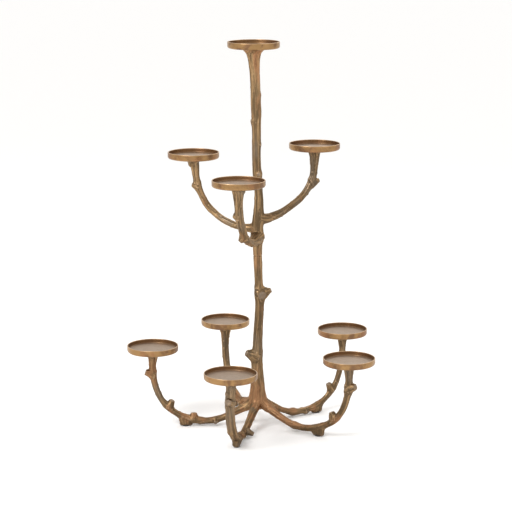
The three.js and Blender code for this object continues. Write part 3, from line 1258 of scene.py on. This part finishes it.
# A low arm's foot, in mm: its gap to the pad, and its legs' spacing, lean, sink and radii.
FOOT_GAP = 0.3
LEG_SPREAD = 7.0
LEG_LEAN = 2.4
LEG_SINK = 0.8
LEG_RADIUS = 5.0
LEG_TIP = 5.3

# How much further than its own half sine wave a swaying arm carries its foot.
FOOT_BOW = 1.25

# Distances from the trunk's axis in mm: to every arm's root, and to a low pan before stretching.
ROOT_DISTANCE = 24.0
LOW_REACH = 181.0

# The trunk's axis in mm. Its stud stands a little to the left of it.
STUD_LEAN = np.array([-0.3, 0.0, 0.0])
AXIS = (middle("trunk_stud") / MM - STUD_LEAN) * np.array([1.0, 1.0, 0.0])


@dataclass(frozen=True)
class Stub:
    """A short sawn-off twig: where it springs from, its direction, and its size in mm.

    start and direction are (outward, sideways, up) in the frame of the limb that it grows on.
    """

    FLUTE = ((0.0, 0.06), (1.0, 0.12))
    CUT_DISH = 0.6

    start: tuple[float, float, float]
    direction: tuple[float, float, float]
    length: float
    radius: float
    tip: float
    sawn: bool = True

    def bar(self, outward: np.ndarray, sideways: np.ndarray, stretch: float = 1.0) -> Bar:
        """The stub as a bar, flared where it leaves the limb.

        Args:
            outward: The limb's outward direction.
            sideways: The limb's sideways direction.
            stretch: Scale of the outward distance.

        Returns:
            The bar.
        """
        out, side, height = self.start
        start = AXIS + outward * out * stretch + sideways * side + UP * height
        way = unit(outward * self.direction[0] + sideways * self.direction[1] + UP * self.direction[2])
        knots = np.stack([start + way * self.length * share for share in (0.0, 0.5, 1.0)]) * MM
        lean = sideways if abs(float(way @ sideways)) < 0.8 else UP
        waist = 0.5 * (self.radius + self.tip) - 0.25
        girth = ((0.0, self.radius), (0.55, waist), (0.88, self.tip * 1.03), (1.0, self.tip * 0.94))
        path = Path(knots, tuple(lean))
        return Bar(path, girth, FLUTES, self.FLUTE, phase=out, sawn=self.sawn, hollow=self.CUT_DISH)


@dataclass
class Arm:
    """A J-shaped arm: it leaves the trunk, dips, and rises to a flared neck under its pan.

    shape holds (outward, up) points in mm. root, waist and neck are radii in mm, rib is how far a
    second strand stands to the side, and burial is how deep the root reaches into its boss. The
    pan's own CAD box gives the top of the neck. NECK_FLARE holds how far below that top, and how
    much wider than the waist. The strand's bulge and span are shares of the path.
    """

    NECK_RUN = 12.0
    NECK_LAP = 0.6
    ROOT_TAPER = (13.0, 28.0)
    NECK_FLARE = ((40.0, 0.2), (27.0, 0.8), (15.0, 2.0), (8.0, 3.6), (4.4, 6.0))
    STRAND_BULGE = (0.35, 0.65)
    STRAND_SPAN = (0.45, 0.93)
    STRAND_SPACING = 24
    STRAND_THINNER = 0.9

    tier: str
    side: str
    degrees: float
    shape: Stations
    stubs: Sequence[Stub]
    seed: int
    stretch: float = 1.0
    sway: float = 0.0
    root: float = 7.2
    waist: float = 5.3
    neck: float = 16.2
    rib: float = 0.0
    burial: float = 7.0
    # Veil by height: darkest close to the table as painted shade, over the arm's own steady tone.
    patina: Stations = ((3.0, 1.10), (9.0, 0.86), (16.0, 0.74))
    blush: Stations = ((4.0, 0.35), (12.0, 0.65), (24.0, 0.95), (50.0, 0.30))

    def __post_init__(self) -> None:
        """Works out the arm's plane and its path: the shape's points, then straight up to the pan."""
        self.node = f"{self.tier}_arm_{self.side}"
        self.pan = f"{self.tier}_pan_{self.side}"
        self.outward, self.sideways = bearing(self.degrees)
        centre = middle(self.pan) / MM - AXIS
        self.reach = float(np.hypot(centre[0], centre[1]))
        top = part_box(self.pan)[1].z / MM - PAN_HEIGHT
        knots = [AXIS + self.place(out, height) for out, height in self.shape]
        end = AXIS + centre * np.array([1.0, 1.0, 0.0])
        knots += [end + UP * (top - self.NECK_RUN), end + UP * (top + self.NECK_LAP)]
        start = knots[0] - unit(knots[1] - knots[0]) * self.burial
        self.path = Path(np.stack([start] + knots) * MM, tuple(self.sideways))

    def place(self, out: float, height: float) -> np.ndarray:
        """A point of the arm, stretched to its reach and bowed sideways by half a sine wave.

        Args:
            out: Distance outward before stretching, in mm.
            height: Height above the table, in mm.

        Returns:
            The point from the trunk's axis, in mm.
        """
        away = out if out <= ROOT_DISTANCE else out * self.stretch
        bow = math.sin(math.pi * min(away / self.reach, 1.0))
        return self.outward * away + self.sideways * self.sway * bow + UP * height

    def _strand(self) -> Bar:
        """A second strand that hugs the rising half of the limb, a little to one side.

        It is the limb's own path, moved sideways by the rib distance times a half sine wave.

        Returns:
            The strand.
        """
        share = self.path.travel / self.path.length
        start, run = self.STRAND_BULGE
        wave = np.sin(math.pi * np.clip((share - start) / run, 0.0, 1.0))
        aside = self.sideways[None, :] * (self.rib * MM * wave)[:, None]
        path = Path((self.path.points + aside)[::self.STRAND_SPACING], tuple(self.sideways))
        thin = self.waist - self.STRAND_THINNER
        girth = ((0.0, thin), (1.0, thin))
        flute = ((0.0, 0.1), (1.0, 0.1))
        first, last = self.STRAND_SPAN
        return Bar(path, girth, FLUTES, flute, phase=1.1, first=first, last=last)

    def casting(self) -> Casting:
        """The arm as a casting: the limb, its stubs, and its second strand if it has one.

        Returns:
            The casting.
        """
        total = self.path.length / MM
        bend, slim = (self.burial + run for run in self.ROOT_TAPER)
        girth = [
            (0.0, self.root), (self.burial / total, self.root),
            (bend / total, 0.5 * (self.root + self.waist) + 0.2),
            (slim / total, self.waist + 0.3), (0.5, self.waist),
        ]
        girth += [(1 - below / total, self.waist + more) for below, more in self.NECK_FLARE]
        girth += [(1 - 2.2 / total, self.neck - 2.2), (1.0, self.neck)]
        flute = ((0.0, 0.10), (0.5, 0.12), (1 - 40 / total, 0.20), (1 - 12 / total, 0.34), (1.0, 0.22))
        limb = Bar(self.path, girth, FLUTES, flute, twist=0.35, phase=0.6 * self.seed)
        bars = [limb] + [stub.bar(self.outward, self.sideways, self.stretch) for stub in self.stubs]
        if self.rib:
            bars.append(self._strand())
        return Casting(self.node, bars, self.seed, patina=self.patina, blush=self.blush)


LOW_SHAPE = (
    (24.0, 32.0), (46.0, 21.0), (66.0, 12.8), (88.0, 9.2), (110.0, 11.2), (132.5, 19.0),
    (153.5, 32.0), (167.6, 49.0), (177.2, 72.6), (181.2, 98.0),
)
REAR_LEFT_SHAPE = (
    (24.0, 34.0), (46.0, 30.5), (66.0, 24.5), (88.0, 19.0), (110.0, 18.0), (132.5, 23.5),
    (153.5, 34.5), (167.5, 50.0), (177.0, 72.6), (181.2, 98.0),
)
REAR_RIGHT_SHAPE = (
    (24.0, 32.0), (46.0, 20.4), (66.0, 12.4), (88.0, 8.8), (110.0, 9.6), (132.5, 16.2),
    (153.5, 30.0), (167.6, 48.0), (177.2, 72.6), (181.2, 98.0),
)


def foot_legs(out: float, side: float, shape: Stations) -> list[Stub]:
    """The foot under a low arm: three legs in a row that draw together on the pad.

    Args:
        out: How far out the foot stands, in mm.
        side: How far it stands to the side.
        shape: The arm's (outward, up) points.

    Returns:
        The legs.
    """
    outs, ups = zip(*shape)
    legs = []
    for lean in (-1.0, 0.0, 1.0):
        start = out + lean * LEG_SPREAD
        height = float(np.interp(start, outs, ups)) - LEG_SINK
        drop = height - PAD_TOP - FOOT_GAP
        inward = -lean * LEG_LEAN / drop
        legs.append(Stub((start, side, height), (inward, 0.0, -1.0), drop, LEG_RADIUS, LEG_TIP))
    return legs


OUTER = Stub((178.0, 0.0, 91.5), (0.96, 0.0, 0.32), 17.5, 7.8, 5.2)
INNER = Stub((157.5, 0.0, 36.0), (-0.42, 0.04, 0.90), 14.5, 6.6, 4.9)
CLOSE_INNER = replace(INNER, start=(154.2, 0.0, 33.0), length=15.0, radius=7.6)
TOP_KNOB = Stub((111.0, 0.0, 12.0), (0.02, -0.05, 1.0), 12.0, 7.4, 4.8, False)
SIDE = Stub((75.0, 0.0, 10.5), (-0.10, 0.80, -0.30), 13.0, 6.6, 3.9)
BUMP = Stub((180.5, 0.0, 87.0), (0.1, -1.0, 0.1), 8.5, 5.2, 3.4, False)
NUB = Stub((100.0, 0.0, 10.0), (0.0, -0.5, -0.6), 7.6, 4.6, 3.2, False)


@dataclass
class Trunk:
    """The trunk's two castings, parted at the seam, with bosses for the arms and sawn knots.

    axis holds the centre line's points and outline its (height, radius) stations, in mm. bumps
    are (x, y, z, size). A boss leaves the axis a drop above its arm's root, and bends towards it
    from BOSS_BEND before it; it ends BOSS_LAP past the root.
    """

    BOSS_BEND = 12.0
    BOSS_SETBACK = 5.0
    BOSS_LAP = 2.5
    SEED = 41
    FLUTE = ((0.0, 0.14), (0.1, 0.16), (0.45, 0.13), (0.9, 0.18), (0.97, 0.30), (1.0, 0.20))

    seam: float = 300.0
    low_drop: float = 19.0
    low_boss: float = 9.5
    high_drop: float = 2.0
    high_boss_extra: float = 2.6
    axis: Sequence[tuple[float, float, float]] = (
        (-1.0, 0.0, 29.0), (0.0, 0.0, 60.0), (-1.5, 0.0, 110.0), (0.2, 0.0, 160.0), (3.0, 0.0, 215.0),
        (1.0, 0.0, 260.0), (-0.3, 0.0, 300.0), (-0.5, 0.0, 345.0), (1.4, 0.0, 395.0),
        (-2.0, 0.0, 455.0), (-2.6, 0.0, 510.0), (-3.6, 0.0, 560.0), (-5.0, 0.0, 610.0),
        (-7.1, 0.6, 648.0), (-7.1, 0.6, 654.6),
    )
    outline: Stations = (
        (29.0, 7.0), (36.0, 12.0), (48.0, 13.6), (62.0, 12.8), (80.0, 11.2), (100.0, 9.8), (140.0, 8.4),
        (175.0, 7.8), (215.0, 7.4), (250.0, 7.0), (300.0, 7.5), (325.0, 8.2), (345.0, 9.2),
        (362.0, 9.4), (385.0, 8.0), (408.0, 7.0), (470.0, 7.3), (520.0, 7.4), (548.0, 8.5),
        (590.0, 8.0), (618.0, 8.4), (634.0, 9.5), (640.0, 10.7), (645.0, 12.2), (648.6, 15.2),
        (651.4, 18.6), (654.6, 21.5),
    )
    bumps: Sequence[tuple[float, float, float, float]] = (
        (4.2, -12.0, 70.0, 5.0), (-6.0, -8.0, 268.0, 4.0), (5.0, -7.0, 176.0, 4.5),
        (-6.5, -6.0, 400.0, 4.0), (5.0, -6.0, 492.0, 4.5), (6.0, 5.0, 575.0, 4.5),
    )
    # Veil by height, partly the trunk's own tone and partly painted shade: darkest over the lower trunk,
    # fading to almost none at the top.
    patina: Stations = (
        (30.0, 0.50), (60.0, 0.55), (85.0, 0.85), (200.0, 0.82), (300.0, 0.62), (450.0, 0.55),
        (520.0, 0.30), (600.0, 0.02),
    )
    blush: Stations = (
        (30.0, 0.95), (75.0, 0.85), (110.0, 0.45), (200.0, 0.30), (320.0, 0.50), (420.0, 0.50),
        (560.0, 0.72),
    )
    low_knots: Sequence[Stub] = (
        Stub((0.0, 2.0, 232.5), (0.10, 0.92, 0.36), 22.5, 14.0, 4.4),
        Stub((0.0, 2.0, 232.0), (0.86, 0.42, 0.05), 11.5, 7.6, 5.4),
        Stub((0.0, -1.0, 121.0), (0.20, -0.88, 0.42), 22.0, 12.5, 6.0),
    )
    high_knots: Sequence[Stub] = (
        Stub((0.0, 1.0, 441.0), (1.0, 0.05, 0.12), 9.6, 5.0, 3.0),
        Stub((0.0, -3.0, 530.0), (0.25, -0.92, 0.20), 9.8, 7.0, 3.2),
    )

    def _path(self) -> Path:
        """The whole trunk's centre line."""
        return Path((np.array(self.axis) + AXIS) * MM, (1.0, 0.0, 0.0))

    def _stem(self, path: Path, low: float, high: float) -> Bar:
        """The stretch of the trunk between two heights.

        Args:
            path: The trunk's centre line.
            low: The lower height in mm.
            high: The upper height in mm.

        Returns:
            The bar.
        """
        heights = path.points[:, 2] / MM
        reach = path.travel / path.length
        girth = [(float(np.interp(z, heights, reach)), radius) for z, radius in self.outline]
        first, last = np.interp([low, high], heights, reach).tolist()
        return Bar(path, girth, FLUTES, self.FLUTE, 0.9, 0.4, first=first, last=last)

    def _boss(self, arm: Arm, drop: float, thick: float) -> Bar:
        """The root-like swelling from which an arm springs.

        Args:
            arm: The arm that it carries.
            drop: How far above the arm's root the swelling leaves the trunk's axis, in mm.
            thick: Radius where it leaves the trunk, in mm.

        Returns:
            The bar.
        """
        first = AXIS + arm.place(*arm.shape[0])
        second = AXIS + arm.place(*arm.shape[1])
        way = unit(second - first)
        base = AXIS + UP * (arm.shape[0][1] + drop)
        bend = (base + first - way * self.BOSS_BEND) / 2.0
        ends = [first - way * self.BOSS_SETBACK, first + way * self.BOSS_LAP]
        knots = np.stack([base, bend] + ends) * MM
        path = Path(knots, tuple(arm.sideways))
        half = 0.5 * (thick + arm.root)
        girth = ((0.0, thick), (0.45, half), (0.8, arm.root + 0.7), (1.0, arm.root - 0.3))
        return Bar(path, girth, FLUTES, ((0.0, 0.1), (1.0, 0.12)), phase=0.6 * arm.seed)

    def castings(self, low_arms: Sequence[Arm], high_arms: Sequence[Arm]) -> list[Casting]:
        """The lower and the upper casting.

        Args:
            low_arms: The arms of the lower tier.
            high_arms: The arms of the upper tier.

        Returns:
            The two castings.
        """
        path = self._path()
        front, right = bearing(0.0)
        top = self.axis[-1][2]
        lower = [self._stem(path, self.axis[0][2], self.seam)]
        lower += [self._boss(arm, self.low_drop, self.low_boss) for arm in low_arms]
        lower += [stub.bar(front, right) for stub in self.low_knots]
        upper = [self._stem(path, self.seam, top)]
        upper += [self._boss(arm, self.high_drop, arm.root + self.high_boss_extra) for arm in high_arms]
        upper += [stub.bar(front, right) for stub in self.high_knots]
        knobs = [(x + AXIS[0], y + AXIS[1], z, size) for x, y, z, size in self.bumps]
        bark = {
            "ridge": 0.24, "lumps": 0.22, "nubs": 0.25, "knobs": knobs, "patina": self.patina,
            "blush": self.blush,
        }
        return [
            Casting(f"trunk_{part}", bars, self.SEED, **bark)
            for part, bars in (("lower", lower), ("upper", upper))
        ]


# ---- pans ----------------------------------------------------------------------------------------


@dataclass
class CandlePan:
    """A shallow turned pan: a thin upright rim round a flat floor, with a spigot underneath.

    Sizes are in mm. heel and cove are the rounds under and inside the foot of the wall, and sag
    is how far the belly hangs below the pan's own zero. The outline runs from the spigot's tip up
    round the outside, over the rim and down to the middle of the floor.
    """

    SPIGOT = ((3.6, -9.5), (4.0, -9.0), (4.0, -1.6))
    ARC_STEPS = 9
    SEED_SHIFT = 31.0

    node: str
    seed: int
    radius: float = 43.9
    wall: float = 1.7
    floor: float = 2.2
    heel: float = 3.4
    cove: float = 2.2
    sag: float = 1.0
    turns: int = 144

    def _outline(self) -> np.ndarray:
        """The half section: straight runs joined by quarter arcs and a half arc over the rim.

        Returns:
            (radius, height) points, (n, 2).
        """
        quarter = np.linspace(0.0, math.pi / 2, self.ARC_STEPS)[1:]
        half = np.linspace(0.0, math.pi, self.ARC_STEPS)[1:]
        outer, inner = self.radius, self.radius - self.wall
        heel, cove, lip = self.heel, self.cove, self.wall / 2.0
        crown = PAN_HEIGHT - lip
        belly = [(radius, -self.sag) for radius in np.linspace(5.0, outer - heel, 14)]
        round_heel = [
            (outer - heel + heel * math.sin(a), heel - self.sag - heel * math.cos(a)) for a in quarter
        ]
        side = [(outer, height) for height in np.linspace(heel + 0.9, crown, 5)]
        rim = [(outer - lip + lip * math.cos(a), crown + lip * math.sin(a)) for a in half]
        bore = [(inner, height) for height in np.linspace(crown - 0.9, self.floor + cove, 5)]
        corner = [
            (inner - cove + cove * math.cos(a), self.floor + cove - cove * math.sin(a)) for a in quarter
        ]
        seat = [(radius, self.floor) for radius in np.linspace(inner - cove - 1.5, 1.2, 20)]
        return np.array([*self.SPIGOT, *belly, *round_heel, *side, *rim, *bore, *corner, *seat])

    def build(self, finish: bpy.types.Material) -> bpy.types.Object:
        """Spins the outline into the pan and hands it to the frame.

        Noise that grows towards the rim leaves it a fifth of a millimetre out of true.

        Args:
            finish: The pan's material.

        Returns:
            The finished object.
        """
        outline = self._outline()
        angle = np.linspace(0.0, 2 * math.pi, self.turns, endpoint=False)
        radius, height = (column[:, None] * np.ones_like(angle) for column in outline.T)
        rings = np.stack([radius * np.cos(angle), radius * np.sin(angle), height], axis=-1)
        local = rings.reshape(-1, 3)
        outer = smoothstep(20.0, 44.0, np.hypot(local[:, 0], local[:, 1]))
        wobble = noise(local / 22.0, self.seed) * 0.22 + noise(local / 7.0, self.seed + 2) * 0.06
        dip = noise(local / 30.0 + 5.0, self.seed + 4) * 0.16
        spoke = unit(local * np.array([1.0, 1.0, 0.0]))
        local = local + spoke * (wobble * outer)[:, None] + UP * (dip * outer)[:, None]
        centre = middle(self.node) / MM
        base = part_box(self.node)[1].z / MM - PAN_HEIGHT
        place = np.array([centre[0], centre[1], base])
        rings = (local + place).reshape(rings.shape) * MM
        tips = np.array([place + UP * outline[0, 1], place + UP * outline[-1, 1]]) * MM
        mesh = new_mesh(self.node, *closed_grid(rings, tips))
        self._mark(mesh, place)
        mesh.materials.append(finish)
        return hand_over(mesh, self.node + "_turned", self.node)

    def _mark(self, mesh: bpy.types.Mesh, place: np.ndarray) -> None:
        """Stores the pan's own coordinates, its floor, its inner wall and its edges.

        The masks are eased steps of the distance from the axis and of the height.

        Args:
            mesh: The pan's mesh.
            place: The pan's own zero, in mm.
        """
        spot = coordinates(mesh) / MM - place
        ring = np.hypot(spot[:, 0], spot[:, 1])
        inner = self.radius - self.wall
        above = smoothstep(self.floor - 1.0, self.floor - 0.4, spot[:, 2])
        level = above * smoothstep(inner - 0.4, inner - 2.2, ring)
        bore = above * smoothstep(inner - 1.6, inner - 0.6, ring)
        bore *= smoothstep(inner + 0.6, inner + 0.1, ring)
        lip = smoothstep(PAN_HEIGHT - 1.1, PAN_HEIGHT - 0.3, spot[:, 2])
        links = Links(mesh)
        nook = bore * smoothstep(self.floor + 3.2, self.floor + 0.4, spot[:, 2])
        proud = 0.5 + 0.42 * lip - 0.42 * nook
        store(mesh, "spot", (spot + self.SEED_SHIFT * self.seed * UP) * MM)
        store(mesh, "level", links.relax(level, 1))
        store(mesh, "inside", links.relax(bore, 1))
        store(mesh, "crest", links.relax(proud, 1))


# ---- studio --------------------------------------------------------------------------------------


@dataclass(frozen=True)
class SoftLight:
    """A round soft light: its place and size in metres, and its power in watts."""

    name: str
    place: tuple[float, float, float]
    size: float
    power: float

    def hang(self, target: Vector) -> None:
        """Adds the light to the scene.

        Args:
            target: The point that it faces.
        """
        light = bpy.data.lights.new(self.name, "AREA")
        light.shape = "DISK"
        light.size = self.size
        light.energy = self.power
        holder = bpy.data.objects.new(self.name, light)
        bpy.context.scene.collection.objects.link(holder)
        holder.location = self.place
        aim = target - Vector(self.place)
        holder.rotation_euler = aim.to_track_quat("-Z", "Y").to_euler()


@dataclass
class Studio:
    """Floor, soft lights and the camera. Sizes are in metres and the pitch is in degrees."""

    camera: tuple[float, float, float] = (-0.0033, -2.9778, 0.92765)
    pitch: float = 11.91
    lens: float = 125.48
    target: tuple[float, float, float] = (0.0, 0.0, 0.55)
    surround: Colour = (1.0, 0.99, 0.975, 1.0)
    surround_strength: float = 1.08
    floor_radii: Sequence[float] = (24.0, 4.0, 1.0, 0.2)
    floor_sides: int = 64
    soft_lights: Sequence[SoftLight] = (
        SoftLight("key", (-0.75, -0.95, 1.30), 0.7, 14.0),
        SoftLight("fill", (1.9, -1.4, 1.2), 1.6, 4.0),
        SoftLight("rim", (0.6, 1.6, 1.8), 1.2, 6.0),
    )

    def floor(self) -> None:
        """A wide pale disc under the feet: rings of a shrinking radius, closed by a fan."""
        count, sides = len(self.floor_radii), self.floor_sides
        angle = np.linspace(0.0, 2 * math.pi, sides, endpoint=False)
        radius = np.array(self.floor_radii)[:, None]
        spots = [radius * np.cos(angle), radius * np.sin(angle), np.zeros((count, sides))]
        vertices = np.concatenate([np.stack(spots, axis=-1).reshape(-1, 3), np.zeros((1, 3))])
        quads = ring_quads(count, sides)
        last = (count - 1) * sides + np.arange(sides)
        onward = (count - 1) * sides + (np.arange(sides) + 1) % sides
        fan = np.stack([last, onward, np.full(sides, count * sides)], axis=-1)
        corners = np.concatenate([quads.reshape(-1), fan.reshape(-1)])
        mesh = new_mesh("floor", vertices, corners, [4] * (quads.size // 4) + [3] * sides)
        mesh.materials.append(PaleFloor().material())
        add_object(mesh, "floor")

    def lights(self) -> None:
        """An even pale surround, then the soft lights, all aimed at the target."""
        world = bpy.data.worlds.new("surround")
        bpy.context.scene.world = world
        world.use_nodes = True
        back = world.node_tree.nodes["Background"]
        back.inputs["Color"].default_value = self.surround
        back.inputs["Strength"].default_value = self.surround_strength
        for light in self.soft_lights:
            light.hang(Vector(self.target))

    def view(self) -> None:
        """The camera, level from side to side and pitched down a little."""
        data = bpy.data.cameras.new("camera")
        data.lens = self.lens
        data.sensor_width = 36.0
        data.clip_end = 100.0
        holder = bpy.data.objects.new("camera", data)
        bpy.context.scene.collection.objects.link(holder)
        place = Vector(self.camera) + Vector(AXIS * MM)
        turn = Matrix.Rotation(math.radians(90.0 - self.pitch), 4, "X")
        holder.matrix_world = Matrix.Translation(place) @ turn
        bpy.context.scene.camera = holder

    def build(self) -> None:
        """Sets everything up."""
        self.floor()
        self.lights()
        self.view()
        bpy.context.scene.view_settings.view_transform = "Standard"


# ---- the whole object ----------------------------------------------------------------------------


def lifted(shape: Stations, lift: float) -> Stations:
    """A low arm's shape with its middle raised by a half sine wave.

    Args:
        shape: (outward, up) points in mm.
        lift: The wave's height in mm.

    Returns:
        The raised points.
    """
    return [(out, up + lift * math.sin(math.pi * min(out / LOW_REACH, 1.0))) for out, up in shape]


def low_arm(
    title: str, degrees: float, reach: float, foot: float, lift: float, sway: float, seed: int,
    stubs: Sequence[Stub], waist: float = 5.3, rib: float = 0.0, base: Stations = LOW_SHAPE,
    **looks: Stations,
) -> Arm:
    """One arm of the lower tier.

    Args:
        title: Which arm, as in the CAD names.
        degrees: Its bearing.
        reach: From the trunk's axis to the pan's centre, in mm.
        foot: How far out its foot stands, in mm.
        lift: How far its middle is raised, in mm.
        sway: How far its middle is bowed sideways, in mm.
        seed: Which bark.
        stubs: The twigs that grow on it, besides the foot.
        waist: The limb's radius at its thinnest, in mm.
        rib: How far a second strand stands to the side, in mm, or 0 for none.
        base: The (outward, up) points before they are lifted and stretched.
        **looks: Veil stations, partly the arm's own tone and partly painted shade, and blush stations,
                 where the arm has its own.

    Returns:
        The arm.
    """
    stretch = reach / LOW_REACH
    shape = lifted(base, lift)
    bow = sway * math.sin(math.pi * foot / reach) * FOOT_BOW
    stubs = foot_legs(foot / stretch, bow, shape) + list(stubs)
    return Arm(
        "lower", title, degrees, shape, stubs, seed, stretch=stretch, sway=sway, waist=waist, rib=rib,
        **looks,
    )


def low_tier() -> list[Arm]:
    """The five arms that carry the low pans and stand on the table.

    Returns:
        The arms, anticlockwise from the front.
    """
    chip = Stub((158.0, -4.0, 36.5), (-0.2, -0.62, -0.75), 9.0, 4.2, 2.9)
    low_knob = replace(TOP_KNOB, length=9.0)
    front_side = replace(SIDE, length=12.4, radius=5.8, tip=3.6)
    slight_side = replace(SIDE, length=10.5, radius=5.2, tip=3.4)
    left_knob = replace(TOP_KNOB, length=10.8)
    high_side = replace(SIDE, start=(75.0, 0.0, 21.5))
    return [
        # The front arm's veil darkens further near the table: painted shade on its foot.
        low_arm("front", -14.0, 184.6, 128.0, 0.0, -4.4, 3, (OUTER, front_side, low_knob, chip), 5.8, -4.2,
                patina=((5.0, 1.25), (12.0, 1.12), (20.0, 0.82), (40.0, 0.72)),
                blush=((8.0, 0.10), (16.0, 0.55), (28.0, 0.70), (36.0, 0.20))),
        low_arm("right", 58.2, 179.0, 121.0, 0.3, 0.0, 5, (OUTER, CLOSE_INNER, slight_side, BUMP)),
        low_arm("rear_right", 124.8, 183.2, 127.0, 0.0, 0.0, 7, (OUTER, INNER, SIDE, NUB), 4.8,
                base=REAR_RIGHT_SHAPE),
        low_arm("rear_left", 199.0, 181.0, 125.0, 0.0, 0.0, 11, (INNER, high_side), 6.0,
                base=REAR_LEFT_SHAPE),
        low_arm("left", -87.3, 181.0, 125.0, -0.9, 0.0, 13,
                (OUTER, CLOSE_INNER, left_knob, slight_side, NUB), 5.1),
    ]


def high_tier() -> list[Arm]:
    """The three arms that branch off at mid height.

    Returns:
        The arms: front, left and right.
    """
    front = (
        (24.0, 331.5), (42.0, 331.5), (62.0, 336.5), (82.0, 343.5), (97.0, 353.0), (110.0, 367.0),
        (122.5, 381.0), (131.0, 396.5), (134.0, 418.0),
    )
    left = (
        (24.0, 348.0), (40.0, 350.0), (54.6, 354.8), (69.0, 362.0), (81.4, 371.4), (93.4, 383.8),
        (102.4, 398.2), (109.8, 415.6), (113.8, 435.0), (116.5, 452.0),
    )
    right = (
        (24.0, 364.4), (40.0, 368.4), (56.0, 375.6), (72.0, 384.2), (86.0, 393.5), (98.0, 406.0),
        (106.0, 419.0), (110.5, 434.0), (112.0, 450.0),
    )
    front_stubs = (
        Stub((131.0, 0.0, 391.0), (0.1, -1.0, 0.25), 10.5, 6.8, 4.2),
        Stub((97.0, 0.0, 351.0), (0.3, -0.62, -0.72), 11.0, 6.6, 3.8),
    )
    left_stubs = (Stub((108.0, 0.0, 414.0), (0.97, 0.1, 0.12), 12.5, 7.4, 3.8),)
    right_stubs = (Stub((105.0, 0.0, 416.0), (0.95, -0.1, 0.30), 17.0, 8.2, 3.8),)
    return [
        # The upper arms' veils: each arm's own tone, with the change along its height painted shade.
        Arm("upper", "front", -13.6, front, front_stubs, 17, root=9.0, waist=6.4,
            patina=((330.0, 0.62), (400.0, 0.55))),
        Arm("upper", "left", -110.5, left, left_stubs, 19, root=5.9, waist=5.5,
            patina=((340.0, 0.45), (460.0, 0.40))),
        Arm("upper", "right", 120.3, right, right_stubs, 23, root=7.4, waist=5.8,
            patina=((360.0, 0.85), (480.0, 0.88))),
    ]


TOP_PAN_SEED = 29


def dress_hidden(effects: Effects) -> None:
    """Gives the CAD studs and felt pads their finishes.

    Args:
        effects: The shared node groups.
    """
    steel = ZincSteel().material(effects)
    felt = WoolFelt().material(effects)
    for name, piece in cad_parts.items():
        finish = steel if "stud" in name else felt if "pad" in name else None
        if finish is not None:
            piece.data.materials.clear()
            piece.data.materials.append(finish)
            LOG.info("%s: %s", name, finish.name)


def main() -> None:
    """Builds the candelabra piece by piece, then the studio."""
    logging.basicConfig(level=logging.INFO, format="%(name)s %(message)s")
    effects = Effects()
    bark = BarkBrass().material(effects)
    turned = TurnedBrass().material(effects)
    low, high = low_tier(), high_tier()
    for arm in low + high:
        arm.casting().build(bark)
    for casting in Trunk().castings(low, high):
        casting.build(bark)
    for arm in low + high:
        CandlePan(arm.pan, arm.seed).build(turned)
    CandlePan("top_pan", TOP_PAN_SEED).build(turned)
    dress_hidden(effects)
    Studio().build()


if __name__ == "__main__":
    main()
